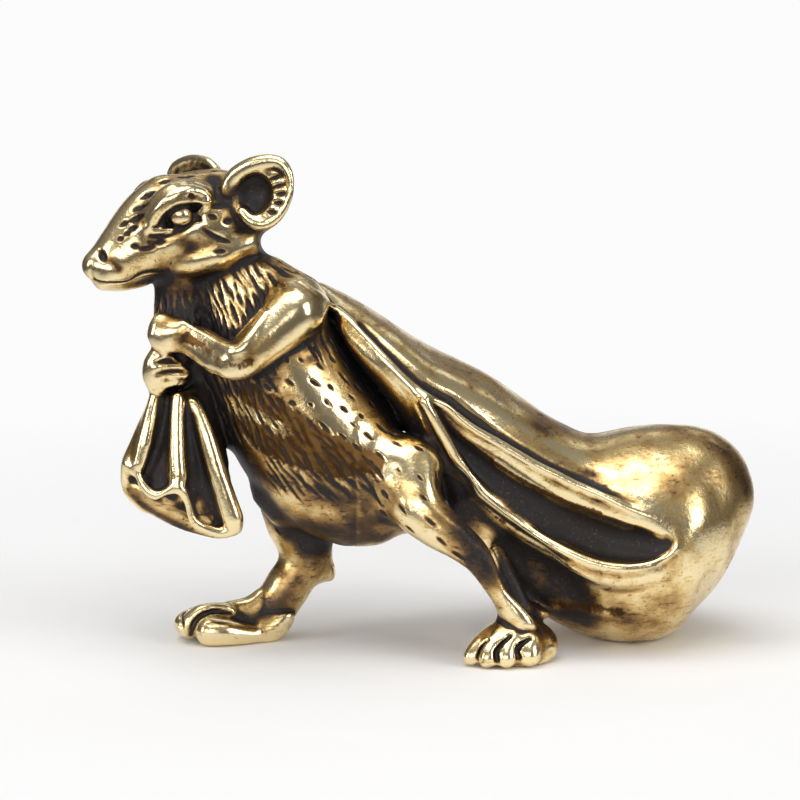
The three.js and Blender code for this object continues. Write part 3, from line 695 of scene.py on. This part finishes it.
# The flat fold over the long hollow, the hollow's bed, the broad band under it, and the rolled fold
# on the band's upper edge, which closes round the end of the hollow.
UPPER_FOLD = [
    *[(425, 397), (436, 402), (447, 407), (461, 419), (474, 429), (487, 437), (501, 445), (519, 456)],
    *[(537, 466), (555, 475), (573, 484), (600, 495), (636, 511), (668, 521)],
]
LONG_HOLLOW = [
    *[(434, 412), (452, 438), (480, 466), (510, 490), (542, 511), (575, 529), (610, 541), (645, 547)],
    (666, 545),
]
BAND = [
    *[(417, 400), (424, 418), (433, 438), (443, 457), (456, 478), (476, 502), (504, 526), (536, 548)],
    *[(568, 566), (598, 576), (628, 580), (654, 574)],
]
LOWER_FOLD = [
    *[(425, 402), (437, 424), (449, 446), (462, 468), (481, 491), (508, 514), (538, 536), (568, 553)],
    *[(595, 564), (622, 568), (647, 565), (664, 558), (676, 548)],
]
ABOVE_THE_FOLD = [
    *[(362, 325), (378, 341), (394, 357), (412, 374), (430, 388), (451, 401), (466, 413), (492, 431)],
    *[(524, 450), (560, 469), (604, 489), (648, 504)],
]
UNDER_THE_BAND = [(443, 484), (467, 512), (497, 544), (532, 575), (568, 598)]
SLOPE_DENT = [(436, 356), (470, 372), (500, 390)]
# The web between the near leg and the sack.
WEB = [(496, 552, -3.2, 0.6), (510, 582, -3.6, 0.75), (522, 608, -4.0, 0.7)]


def sculpt_sack():
    bead(seen(CREST), radius=[0.2, 0.35, 0.4, 0.4], lift=-0.1, k=0.3)
    bead(
        seen(UPPER_FOLD),
        radius=[0.35, 0.36, 0.34, 0.32, 0.3, 0.05],
        lift=[0.08, 0.08, 0.08, 0.05, -0.3],
        k=0.3,
    )
    gouge(
        seen(LONG_HOLLOW),
        radius=[0.35, 0.8, 1.2, 1.5, 1.5, 1.1],
        depth=[0.2, 0.3, 0.3, 0.3, 0.3, 0.2],
        k=0.25,
    )
    bead(
        seen(BAND, even=8, near=3),
        radius=[0.45, 0.7, 0.8, 0.8, 0.8, 0.8, 0.6],
        lift=-0.45,
        k=0.6,
    )
    bead(
        seen(LOWER_FOLD, even=8, near=3),
        radius=[0.36, 0.46, 0.46, 0.42, 0.4, 0.36, 0.1],
        lift=[0.02, 0.02, 0.02, 0.02, -0.15],
        k=0.35,
    )
    gouge(
        seen(ABOVE_THE_FOLD),
        radius=[0.5, 0.6, 0.6, 0.5, 0.45, 0.4, 0.5],
        depth=[0.15, 0.18, 0.22, 0.2, 0.12, -0.1],
        k=0.25,
    )
    gouge(seen(UNDER_THE_BAND), radius=[0.9, 1.6, 2.2, 2.0], depth=[0.2, 0.4, 0.3, 0.05], k=1.2)
    press(seen(SLOPE_DENT), width=2.4, depth=0.22)
    limb(WEB, k=0.6)


# Feet

NEAR_TOE_GAPS = [
    [(487, 640), (480, 648), (477, 659)],
    [(511, 634), (502, 643), (496, 652), (497, 662)],
    [(531, 637), (521, 644), (517, 651), (519, 658)],
]
FAR_TOE_GAPS = [
    [(232, 612), (212, 611), (197, 618), (190, 632), (192, 641)],
    [(200, 604), (188, 608), (181, 618), (182, 634)],
]


def sculpt_feet():
    for gap in NEAR_TOE_GAPS:
        gouge(seen(gap, 2), radius=[0.16, 0.24, 0.2], depth=[0.3, 0.5, 0.3], k=0.08)
    for gap in FAR_TOE_GAPS:
        gouge(seen(gap, 2), radius=0.26, depth=[0.25, 0.4, 0.35, 0.2], k=0.08)


def rest_on_floor():
    """Cuts off what lies below the floor, so that the soles are flat."""
    slices, (_, _, z) = window((LOW[0], LOW[1], -MARGIN), (HIGH[0], HIGH[1], 1.0))
    clay[slices] = soft_max(clay[slices], np.broadcast_to(-z, clay[slices].shape), 0.1)


# Fur


def thinned(points, spacing, seed):
    """Indices of points in a random order, no two of which are closer than `spacing`."""
    order = np.random.default_rng(seed).permutation(len(points))
    cells = {}
    kept = []
    for i in order:
        key = tuple((points[i] // spacing).astype(int))
        near = [
            j
            for dx in (-1, 0, 1)
            for dy in (-1, 0, 1)
            for dz in (-1, 0, 1)
            for j in cells.get((key[0] + dx, key[1] + dy, key[2] + dz), ())
        ]
        if all(np.sum((points[i] - points[j]) ** 2) > spacing**2 for j in near):
            cells.setdefault(key, []).append(i)
            kept.append(i)
    return np.array(kept)


# A stroke of fur: its steps, the shares of its radius and of its depth from root to tip, and how
# much its lean, depth and radius vary.
FUR_STEPS = 6
FUR_RADII = np.array([0.6, 1, 0.8, 0.4])
FUR_ROOT = 0.02
FUR_TAPER = 0.8
FUR_LEAN = (-0.2, 0.2)
FUR_DEPTHS = (0.5, 1.3)
FUR_WIDTHS = (0.8, 1.25)


def comb(points, flow, lengths, radius, depth, dark, seed):
    """Engraves strokes of fur that start at the points and run along the flow."""
    rng = np.random.default_rng(seed)
    lines = [points]
    spots = points
    lean = rng.uniform(*FUR_LEAN, len(points))
    for _ in range(FUR_STEPS):
        normals = normals_at(spots)
        ways = flow(spots, normals)
        ways = ways + np.cross(normals, ways) * lean[:, None]
        spots = settle(spots + ways * (lengths / FUR_STEPS)[:, None])
        lines.append(spots)
    lines = np.stack(lines, axis=1)
    depths = rng.uniform(*FUR_DEPTHS, len(points)) * depth
    radii = rng.uniform(*FUR_WIDTHS, len(points)) * radius
    for line, deep, wide in zip(lines, depths, radii):
        gouge(line, FUR_RADII * wide, [FUR_ROOT, deep, deep * FUR_TAPER, 0.0], k=0.06, dark=dark)


def along(direction):
    """A flow along one direction, laid flat on the surface."""

    def flow(points, normals):
        ways = np.asarray(direction, float)
        ways = ways - normals * np.sum(ways * normals, axis=1, keepdims=True)
        return ways / np.maximum(np.linalg.norm(ways, axis=1, keepdims=True), 1e-6)

    return flow


# Each field of fur: spacing, shortest and longest stroke, radius, depth, darkness and direction.
FUR = {
    "mane": (0.6, (1.4, 2.8), 0.13, 0.15, 0.25, (0.45, 0, -0.9)),
    "back": (1.15, (0.3, 1.4), 0.12, 0.14, 1.0, (0.74, 0, -0.67)),
    "flank": (0.62, (0.9, 2.4), 0.12, 0.12, 0.3, (0.62, 0, -0.78)),
    "legs": (1.6, (0.5, 1.4), 0.13, 0.14, 1.0, (0.7, 0, -0.7)),
    "far arm": (1.2, (0.9, 1.6), 0.12, 0.12, 0.4, (-0.5, -0.4, -0.7)),
    "gathered cloth": (0.5, (1.0, 2.0), 0.12, 0.14, 0.3, (0.1, 0, -1)),
    "crown": (1.0, (0.4, 1.1), 0.1, 0.13, 0.8, (0.89, 0.37, 0.28)),
}
LENGTH_SEED = 11
THINNING_SEED = 20
COMBING_SEED = 30


def fur_fields(middles):
    """Which faces of the skin each field of fur covers, from the middles of the faces."""
    owner = nearest_node(middles)
    order = [name for name, _, _ in FUSING]
    level_of = normals_at(middles)[:, 2]
    x, y, z = middles.T

    def area(*names):
        return np.isin(owner, [order.index(name) for name in names])

    # Above zero on the back, below it on the flank.
    back = z - 19.0 + 0.7 * (x + 9.7)
    torso = area("torso") & (level_of > -0.6)
    neck = (z > 23.6) | (x < -11.5)
    return {
        "mane": torso & neck & (z > 17),
        "back": torso & ~neck & (back > 0.3),
        "flank": torso & ~neck & (back <= 0.3) & (z > 13.2),
        "legs": area("left_leg", "right_leg") & (z > 8.5) & (level_of > -0.5),
        "far arm": area("right_arm"),
        "gathered cloth": area("sack_neck") & (x < -14.5) & (z > 24),
        "crown": area("head") & (y > -2.2),
    }


def grow_fur():
    points, quads = skin_mesh()
    middles = points[quads].mean(axis=1)
    fields = fur_fields(middles)
    rng = np.random.default_rng(LENGTH_SEED)
    for i, (label, values) in enumerate(FUR.items()):
        spacing, (short, long), radius, depth, dark, direction = values
        spots = middles[fields[label]]
        spots = spots[thinned(spots, spacing, THINNING_SEED + i)]
        lengths = rng.uniform(short, long, len(spots))
        comb(spots, along(direction), lengths, radius, depth, dark, COMBING_SEED + i)


# The slight waves of a hand-made wax: their height and width, and the seed they start from.
WAVE_HEIGHT = 0.012
WAVE_WIDTH = 0.6
WAVE_SEED = 5
WAVE_STEP = 4


def ripple():
    shape = [n // WAVE_STEP + 1 for n in SHAPE]
    coarse = np.random.default_rng(WAVE_SEED).standard_normal(shape).astype(np.float32)
    for axis in range(3):
        coarse = np.repeat(coarse, WAVE_STEP, axis=axis)
    waves = blur(coarse[tuple(slice(0, n) for n in SHAPE)], WAVE_WIDTH / VOXEL)
    clay[:] += waves * (WAVE_HEIGHT / waves.std())


# Pieces


def nearest_node(points):
    """For each point, the index in FUSING of the solid that it is nearest to."""
    best = np.full(len(points), np.inf)
    owner = np.zeros(len(points), int)
    for i, (name, _, _) in enumerate(FUSING):
        spot, values = solids[name]
        places = (points - LOW) / VOXEL - [s.start for s in spot]
        inside = np.all((places >= 0) & (places <= np.array(values.shape) - 1), axis=1)
        gap = np.full(len(points), REACH)
        gap[inside] = read_grid(values, places[inside])
        closer = gap < best
        best[closer] = gap[closer]
        owner[closer] = i
    return owner


# Blurs that measure fine and broad hollows, and how far off the surface its surroundings are felt.
FINE_BLUR = 0.28
BROAD_BLUR = 0.8
SHUT_OFF = 1.3
SHADE_BLUR = 2.0
SHADE_OFF = 3.0
SHADE_STEP = 4


def hollowness(points, normals):
    """How deep each point lies in fine and in broad hollows, and how shut in it is."""
    filled = np.clip(0.5 - clay / VOXEL, 0, 1)
    fine = read_grid(blur(filled, FINE_BLUR / VOXEL), (points - LOW) / VOXEL) - 0.5
    broad_grid = blur(filled, BROAD_BLUR / VOXEL)
    broad = read_grid(broad_grid, (points - LOW) / VOXEL) - 0.5
    shut = read_grid(broad_grid, (points + normals * SHUT_OFF - LOW) / VOXEL)
    coarse = np.ascontiguousarray(broad_grid[::SHADE_STEP, ::SHADE_STEP, ::SHADE_STEP])
    coarse = blur(coarse, SHADE_BLUR / (SHADE_STEP * VOXEL))
    shade = read_grid(coarse, (points + normals * SHADE_OFF - LOW) / (SHADE_STEP * VOXEL))
    return {"fine": fine * 2, "broad": broad * 2, "shut": shut, "shade": shade}


# Dark patina, and in places painted shade: points seen on the surface, reach and strength. Under the
# belly it is partly a painted reflection of the shaded floor, behind the near leg partly painted shade,
# and round the sack's end partly a painted dark reflection. Rubbed places are negative.
STAINS_AND_PAINTED_SHADE = {
    "throat": ([(160, 292), (165, 306), (168, 318)], 1.3, 0.5),
    "over the forearm": ([(172, 286), (190, 304), (214, 328), (238, 342)], 2.4, 0.5),
    "nape": ([(256, 234), (266, 258), (284, 274)], 1.6, 0.5),
    "under the arm": ([(190, 374), (222, 388), (262, 384), (300, 364), (324, 344)], 1.0, 0.5),
    # Partly patina, partly a painted reflection of the shaded floor under the belly.
    "belly": ([(218, 430), (245, 480), (290, 520), (340, 530), (392, 518)], 2.6, 0.4),
    "flank": ([(250, 472), (300, 488), (350, 498), (385, 490)], 1.6, 0.3),
    "groin": ([(290, 530), (320, 545), (380, 538)], 1.6, 0.5),
    # Partly patina, partly painted shade behind the leg.
    "behind the near leg": ([(450, 500), (478, 545), (505, 580), (545, 600), (580, 612)], 3.0, 0.9),
    "sack's foot": ([(560, 575), (590, 600), (640, 622)], 2.0, 0.3),
    "frill's hem": ([(128, 492), (150, 510), (178, 526), (210, 541)], 0.9, 0.8),
    "frill's front groove": ([(160, 402), (158, 440), (157, 476)], 0.9, 0.9),
    "frill's back groove": ([(194, 418), (201, 460), (207, 512)], 0.8, 0.9),
    "inside of the near ear": ([(238, 190), (244, 200), (252, 204), (262, 194)], 0.9, 0.8),
    "between the ears": ([(214, 178), (220, 188), (226, 200)], 1.0, 0.9),
    "over the eye": ([(153, 222), (165, 207), (180, 198), (196, 197)], 0.45, 0.5),
    "behind the nostril": ([(108, 258), (114, 263), (119, 268)], 0.5, 0.5),
    "cheek": ([(176, 232), (184, 240), (190, 248)], 0.9, 0.5),
    "before the eye": ([(138, 220), (143, 222)], 0.6, 0.6),
    "far thigh": ([(262, 500), (285, 530), (318, 566)], 2.0, 0.4),
    "far shank": ([(270, 560), (290, 590), (260, 612)], 1.6, 0.3),
    "back of the near shank": ([(497, 566), (520, 600), (548, 634)], 1.0, 0.3),
    "long hollow": ([(435, 414), (480, 462), (540, 508), (610, 540), (665, 545)], 1.2, 0.3),
    "long hollow's upper side": (
        [(444, 422), (476, 449), (510, 473), (550, 495), (600, 514), (650, 533)],
        0.6,
        0.6,
    ),
    "under the rolled fold": ([(450, 470), (478, 505), (520, 540), (560, 564), (600, 578)], 0.7, 0.3),
    "waist of the sack": ([(540, 428), (580, 424), (620, 420)], 2.2, 0.35),
    "over the flat fold": (
        [(425, 386), (451, 401), (466, 413), (492, 431), (524, 450), (560, 469), (604, 489)],
        0.5,
        0.6,
    ),
    "long hollow's lower side": ([(492, 488), (510, 505), (535, 522), (560, 536)], 0.7, 0.6),
    "front of the far shank": ([(316, 560), (296, 590), (268, 612)], 1.4, 0.2),
    "web": ([(498, 548), (505, 566), (513, 585), (522, 604)], 0.6, 1.0),
    "rubbed slope": ([(440, 372), (470, 396), (510, 420), (560, 448), (610, 474)], 0.9, -0.4),
    "rubbed cheekbone": ([(222, 232), (232, 242), (228, 252)], 1.0, -0.5),
    "rubbed arm": ([(196, 340), (225, 350), (250, 340), (270, 316), (300, 300)], 1.1, -0.35),
    "rubbed flat fold": ([(500, 466), (540, 488), (580, 508), (625, 526)], 0.9, -1.3),
    "rubbed foot of the sack": ([(540, 604), (575, 606), (605, 612)], 1.0, -0.6),
    "rubbed shoulder": ([(196, 300), (214, 312), (236, 326)], 1.2, -0.5),
    "rubbed back": ([(285, 352), (310, 385), (335, 412), (365, 442), (388, 465)], 1.7, -0.6),
    # Partly patina, partly a painted dark reflection along the top of the sack's end.
    "round the sack's end": ([(660, 424), (720, 448), (748, 490)], 1.4, 0.3),
}
# The same for matte brown: brown patina in places, and on the flanks, the forearm and the elbow a
# painted dark reflection of the room.
BROWN_PATINA_AND_DARK_REFLECTIONS = {
    # On the flanks, the forearm and the elbow this brown is a painted dark reflection of the room.
    "upper flank": ([(250, 395), (280, 412), (310, 432), (345, 450), (375, 462)], 1.5, 1.3),
    "lower flank": ([(245, 425), (275, 445), (310, 458), (345, 464)], 1.7, 1.3),
    "forearm": ([(186, 338), (202, 346), (214, 356)], 0.7, 0.8),
    "elbow": ([(218, 362), (234, 366), (248, 362)], 0.7, 0.8),
    "sack's foot": ([(560, 604), (590, 606), (620, 612)], 1.0, 0.7),
    "long hollow's upper side": (
        [(444, 422), (476, 449), (510, 473), (550, 495), (600, 514)],
        0.5,
        0.9,
    ),
    "band": ([(419, 404), (433, 438), (452, 470), (474, 498), (504, 523)], 0.6, 0.9),
}


def stroke_strength(points, strokes):
    """How strong the strokes of patina, wear, painted shade and painted dark reflection are at each
    point, on both sides of the rat.
    """
    total = np.zeros(len(points), np.float32)
    for pixels, reach, strength in strokes.values():
        path = seen(pixels)[:: max(1, int(reach / 2))]
        least = np.full(len(points), np.inf, np.float32)
        for spot in path:
            for side in (1, -1):
                twin = (spot[0], TARGET[1] + side * (spot[1] - TARGET[1]), spot[2])
                far = np.sum((points - twin) ** 2, axis=1)
                np.minimum(least, far, out=least)
        part = np.clip(1 - np.sqrt(least) / reach, 0, 1)
        total += strength * part * part * (3 - 2 * part)
    return total


def build_pieces():
    points, quads = skin_mesh()
    normals = normals_at(points, VOXEL * 0.8)
    cavities = hollowness(points, normals) | {
        # Strokes of patina and wear, and in places painted shade and painted dark reflection.
        "stain_and_painted_shade": stroke_strength(points, STAINS_AND_PAINTED_SHADE),
        # Brown patina, and a painted dark reflection on the flanks, the forearm and the elbow.
        "brown_and_dark_reflection": stroke_strength(points, BROWN_PATINA_AND_DARK_REFLECTIONS),
        "ink": read_grid(ink, (points - LOW) / VOXEL),
    }
    owner = nearest_node(points[quads].mean(axis=1))
    pieces = []
    for i, (name, _, _) in enumerate(FUSING):
        chosen = quads[owner == i]
        used, faces = np.unique(chosen, return_inverse=True)
        faces = faces.reshape(-1, 4)
        mesh = bpy.data.meshes.new(name + "_skin")
        mesh.vertices.add(len(used))
        mesh.vertices.foreach_set("co", (points[used] * MM).astype(np.float32).reshape(-1))
        mesh.loops.add(faces.size)
        mesh.loops.foreach_set("vertex_index", faces.reshape(-1).astype(np.int32))
        mesh.polygons.add(len(faces))
        mesh.polygons.foreach_set("loop_start", np.arange(0, faces.size, 4, dtype=np.int32))
        mesh.update(calc_edges=True)
        mesh.normals_split_custom_set_from_vertices(normals[used].tolist())
        for label, values in cavities.items():
            layer = mesh.attributes.new(label, "FLOAT", "POINT")
            layer.data.foreach_set("value", values[used].astype(np.float32))
        obj = bpy.data.objects.new(name + "_skin", mesh)
        bpy.context.scene.collection.objects.link(obj)
        pieces.append((name, obj))
    return pieces


# Materials


def new_material(name):
    material = bpy.data.materials.new(name)
    material.use_nodes = True
    tree = material.node_tree
    tree.nodes.clear()
    return material, tree


def add_node(tree, kind, inputs=None, **settings):
    node = tree.nodes.new("ShaderNode" + kind)
    for key, value in settings.items():
        setattr(node, key, value)
    for key, value in (inputs or {}).items():
        if isinstance(value, bpy.types.NodeSocket):
            tree.links.new(value, node.inputs[key])
        else:
            node.inputs[key].default_value = value
    return node


def ramp(tree, factor, stops):
    node = add_node(tree, "ValToRGB", {"Fac": factor})
    elements = node.color_ramp.elements
    while len(elements) > 1:
        elements.remove(elements[-1])
    for i, (place, color) in enumerate(stops):
        element = elements[0] if i == 0 else elements.new(place)
        element.position = place
        element.color = (*color, 1)
    return node.outputs["Color"]


def level(tree, value, low, high, bottom=0.0, top=1.0):
    """value, remapped so that low gives bottom and high gives top, and clamped."""
    span = {"Value": value, "From Min": low, "From Max": high, "To Min": bottom, "To Max": top}
    return add_node(tree, "MapRange", span).outputs["Result"]


def math_node(tree, operation, a, b=0.0):
    return add_node(tree, "Math", {0: a, 1: b}, operation=operation).outputs[0]


def add(tree, a, b):
    return math_node(tree, "ADD", a, b)


def times(tree, a, b):
    return math_node(tree, "MULTIPLY", a, b)


# Streaks lean with the slope of the sack.
STREAK_TURN = (0, math.radians(-35), 0)


def noise(tree, scale, detail, roughness, stretch=None):
    place = add_node(tree, "TexCoord").outputs["Object"]
    if stretch:
        turn = {"Vector": place, "Rotation": STREAK_TURN, "Scale": stretch}
        place = add_node(tree, "Mapping", turn).outputs["Vector"]
    grain = {"Vector": place, "Scale": scale, "Detail": detail, "Roughness": roughness}
    return add_node(tree, "TexNoise", grain).outputs["Fac"]


def attribute(tree, name):
    return add_node(tree, "Attribute", attribute_name=name).outputs["Fac"]


def mixed(tree, factor, a, b):
    node = add_node(tree, "Mix", data_type="RGBA")
    for key, value in (("Factor_Float", factor), ("A_Color", a), ("B_Color", b)):
        socket = next(i for i in node.inputs if i.identifier == key)
        if isinstance(value, bpy.types.NodeSocket):
            tree.links.new(value, socket)
        else:
            socket.default_value = value
    return next(o for o in node.outputs if o.identifier == "Result_Color")


# Noises: scale, detail, roughness and stretch.
CLOUD = (260.0, 5.0, 0.62)
STREAK = (900.0, 4.0, 0.65, (1.0, 1.0, 3.5))
GRIT = (3200.0, 3.0, 0.6)
# The noise of the painted glints.
GLINT_SPECKS = (4200.0, 4.0, 0.7)
WAVES = (520.0, 4.0, 0.55)
# Where dark patina starts and is full in each measure of the shape, and in each noise, and how
# much of it each one gives.
PATINA_IN_SHAPE = {
    "fine": (0.015, 0.15, 1.0),
    "broad": (0.04, 0.36, 1.0),
    "shut": (0.2, 0.6, 1.0),
    "shade": (0.12, 0.5, 0.45),
}
PATINA_IN_CLOUD = (0.4, 0.7, 0.5)
PATINA_IN_STREAK = (0.55, 0.75, 0.35)
PATINA_IN_GRIT = (0.6, 0.72, 0.3)
# High places are polished.
POLISH = (-0.02, -0.17, 0.45)
BRASS_COLORS = [
    (0.0, (0.94, 0.78, 0.46)),
    (0.15, (0.8, 0.6, 0.28)),
    (0.38, (0.46, 0.29, 0.11)),
    (0.62, (0.14, 0.085, 0.045)),
    (0.9, (0.016, 0.012, 0.012)),
]
# Colours of the matte brown, which is partly patina and partly a painted dark reflection.
BROWN_PATINA_AND_DARK_REFLECTION_COLORS = [
    (0.0, (0.2, 0.105, 0.036)),
    (0.4, (0.085, 0.042, 0.014)),
    (1.0, (0.03, 0.018, 0.012)),
]
# The colour of the painted glints in the dark places.
GLINT_SPECK_COLOR = (0.1, 0.07, 0.045, 1)
# How much patina the two finishes have all over.
AGES = {"polished_brass": 0.0, "antiqued_brass": 0.12}


def brass(name, age):
    """Brass that is polished on high places and patinated in hollows, with painted shade and painted
    dark reflections in some places and painted glints in the dark ones.
    """
    material, tree = new_material(name)

    def part(value, low, high, weight):
        share = level(tree, value, low, high)
        return share if weight == 1 else times(tree, share, weight)

    cloud = noise(tree, *CLOUD)
    grit = noise(tree, *GRIT)
    terms = [part(attribute(tree, label), *values) for label, values in PATINA_IN_SHAPE.items()]
    # The strokes add patina, and in places painted shade and painted dark reflection.
    terms += [attribute(tree, "stain_and_painted_shade"), attribute(tree, "ink")]
    terms += [
        part(cloud, *PATINA_IN_CLOUD),
        part(noise(tree, *STREAK), *PATINA_IN_STREAK),
        part(grit, *PATINA_IN_GRIT),
    ]
    patina_and_shade = age
    for term in terms:
        patina_and_shade = add(tree, patina_and_shade, term)
    patina_and_shade = math_node(tree, "SUBTRACT", patina_and_shade, part(attribute(tree, "fine"), *POLISH))
    color = ramp(tree, patina_and_shade, BRASS_COLORS)
    # The matte brown, partly patina and partly a painted dark reflection of the room, with a ragged
    # edge and thin places.
    ragged = math_node(tree, "SUBTRACT", times(tree, cloud, 2.0), 1.0)
    ragged = add(tree, ragged, math_node(tree, "SUBTRACT", grit, 0.5))
    brown_and_dark_reflection = level(tree, add(tree, attribute(tree, "brown_and_dark_reflection"), ragged), 0.35, 0.65)
    brown_and_dark_reflection = times(tree, brown_and_dark_reflection, level(tree, attribute(tree, "fine"), -0.42, -0.22))
    color = mixed(tree, brown_and_dark_reflection, color, ramp(tree, patina_and_shade, BROWN_PATINA_AND_DARK_REFLECTION_COLORS))
    # Bright specks in the dark places: painted glints.
    glint_speck = level(tree, noise(tree, *GLINT_SPECKS), 0.58, 0.72)
    glint_speck = times(tree, glint_speck, level(tree, patina_and_shade, 0.5, 0.8))
    color = mixed(tree, glint_speck, color, GLINT_SPECK_COLOR)
    rough = level(tree, patina_and_shade, 0.0, 0.8, bottom=0.2, top=0.5)
    rough = math_node(tree, "MAXIMUM", rough, times(tree, brown_and_dark_reflection, 0.5))
    metal = level(tree, patina_and_shade, 0.6, 1.0, bottom=1.0, top=0.35)
    waves = {"Height": noise(tree, *WAVES), "Strength": 0.5, "Distance": 0.0001}
    bump = add_node(tree, "Bump", waves).outputs["Normal"]
    grain = {"Height": grit, "Strength": 0.4, "Distance": 0.00004, "Normal": bump}
    bump = add_node(tree, "Bump", grain).outputs["Normal"]
    look = {"Base Color": color, "Metallic": metal, "Roughness": rough, "Normal": bump}
    shader = add_node(tree, "BsdfPrincipled", look)
    output = add_node(tree, "OutputMaterial")
    tree.links.new(shader.outputs["BSDF"], output.inputs["Surface"])
    return material


# Studio, in metres

FLOOR_RADIUS = 0.4
FLOOR_COLOR = (0.92, 0.92, 0.92, 1)
FLOOR_ROUGHNESS = 0.8
# The floor fades out between these distances from the rat.
FLOOR_FADE = (0.03, 0.1)
LAMP_AIM = (0, 0, 0.015)
# Softboxes: place, width and height, and power.
LAMPS = {
    "key": ((-0.06, -0.07, 0.5), (0.54, 0.4), 1.75),
    "front": ((-0.15, -0.65, 0.22), (0.6, 0.34), 1.6),
    "left": ((-0.5, -0.28, 0.22), (0.16, 0.35), 0.9),
    "right": ((0.5, -0.3, 0.24), (0.2, 0.35), 1.2),
    "rim": ((0.1, 0.45, 0.4), (0.6, 0.12), 0.2),
}
# The room is dark in front, where the camera stands, and pale above.
ROOM_COLORS = [(0.0, (0.11, 0.1, 0.095)), (1.0, (0.3, 0.3, 0.3))]
ROOM_HEIGHTS = (0.3, 0.9)
BACKDROP_COLOR = (0.97, 0.97, 0.975, 1)
# The backdrop stands behind the rat: how far back and how low its directions start and are full.
BACKDROP_BACK = (0.8, 0.95)
BACKDROP_LOW = (0.3, 0.15)


def stage_floor():
    """A round floor that fades out into the white background."""
    material, tree = new_material("floor_white")
    paint = add_node(tree, "BsdfPrincipled", {"Base Color": FLOOR_COLOR, "Roughness": FLOOR_ROUGHNESS})
    place = add_node(tree, "TexCoord").outputs["Object"]
    away = add_node(tree, "VectorMath", {0: place}, operation="LENGTH").outputs["Value"]
    clear = add_node(tree, "BsdfTransparent")
    mix = add_node(tree, "MixShader", {0: level(tree, away, *FLOOR_FADE)})
    tree.links.new(paint.outputs["BSDF"], mix.inputs[1])
    tree.links.new(clear.outputs["BSDF"], mix.inputs[2])
    output = add_node(tree, "OutputMaterial")
    tree.links.new(mix.outputs[0], output.inputs["Surface"])
    bpy.ops.mesh.primitive_circle_add(vertices=64, radius=FLOOR_RADIUS, fill_type="NGON")
    floor = bpy.context.object
    floor.name = "studio_floor"
    floor.data.materials.append(material)


def softbox(name, place, size, power):
    data = bpy.data.lights.new(name, "AREA")
    data.shape = "RECTANGLE"
    data.size, data.size_y = size
    data.energy = power
    lamp = bpy.data.objects.new(name, data)
    lamp.location = place
    lamp.rotation_euler = (Vector(LAMP_AIM) - Vector(place)).to_track_quat("-Z", "Y").to_euler()
    bpy.context.scene.collection.objects.link(lamp)


def light_world():
    """The white background fills what the camera sees, and metal shows the part of it that lies
    behind the rat. Everything else is lit by the room."""
    world = bpy.data.worlds.new("studio")
    world.use_nodes = True
    tree = world.node_tree
    tree.nodes.clear()
    path = add_node(tree, "LightPath").outputs
    way = add_node(tree, "SeparateXYZ", {0: add_node(tree, "TexCoord").outputs["Generated"]})
    room = ramp(tree, level(tree, way.outputs["Z"], *ROOM_HEIGHTS), ROOM_COLORS)
    back = level(tree, way.outputs["Y"], *BACKDROP_BACK)
    backdrop = times(tree, back, level(tree, way.outputs["Z"], *BACKDROP_LOW))
    reflected = math_node(tree, "MAXIMUM", path["Is Glossy Ray"], path["Is Transmission Ray"])
    mirrored = times(tree, reflected, backdrop)
    white = math_node(tree, "MAXIMUM", path["Is Camera Ray"], mirrored)
    lit = add_node(tree, "Background", {"Color": room, "Strength": 1.0})
    shown = add_node(tree, "Background", {"Color": BACKDROP_COLOR, "Strength": 1.0})
    mix = add_node(tree, "MixShader", {0: white})
    tree.links.new(lit.outputs[0], mix.inputs[1])
    tree.links.new(shown.outputs[0], mix.inputs[2])
    output = add_node(tree, "OutputWorld")
    tree.links.new(mix.outputs[0], output.inputs["Surface"])
    bpy.context.scene.world = world


def studio():
    stage_floor()
    for name, (place, size, power) in LAMPS.items():
        softbox(name, place, size, power)
    light_world()
    bpy.context.scene.view_settings.view_transform = "Standard"


fuse_solids()
build_up()
sculpt_head()
sculpt_ears()
sculpt_arms()
sculpt_frill()
sculpt_sack()
sculpt_feet()
ripple()
rest_on_floor()
measure_again()
grow_fur()
place_camera()
studio()
slots = {part["node"]: part["material_slot"] for part in frame["record"]["subparts"]}
finishes = {name: brass(name, age) for name, age in AGES.items()}
for node, piece in build_pieces():
    piece.data.materials.append(finishes[slots[node]])
    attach(piece, "root")
    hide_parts(node)
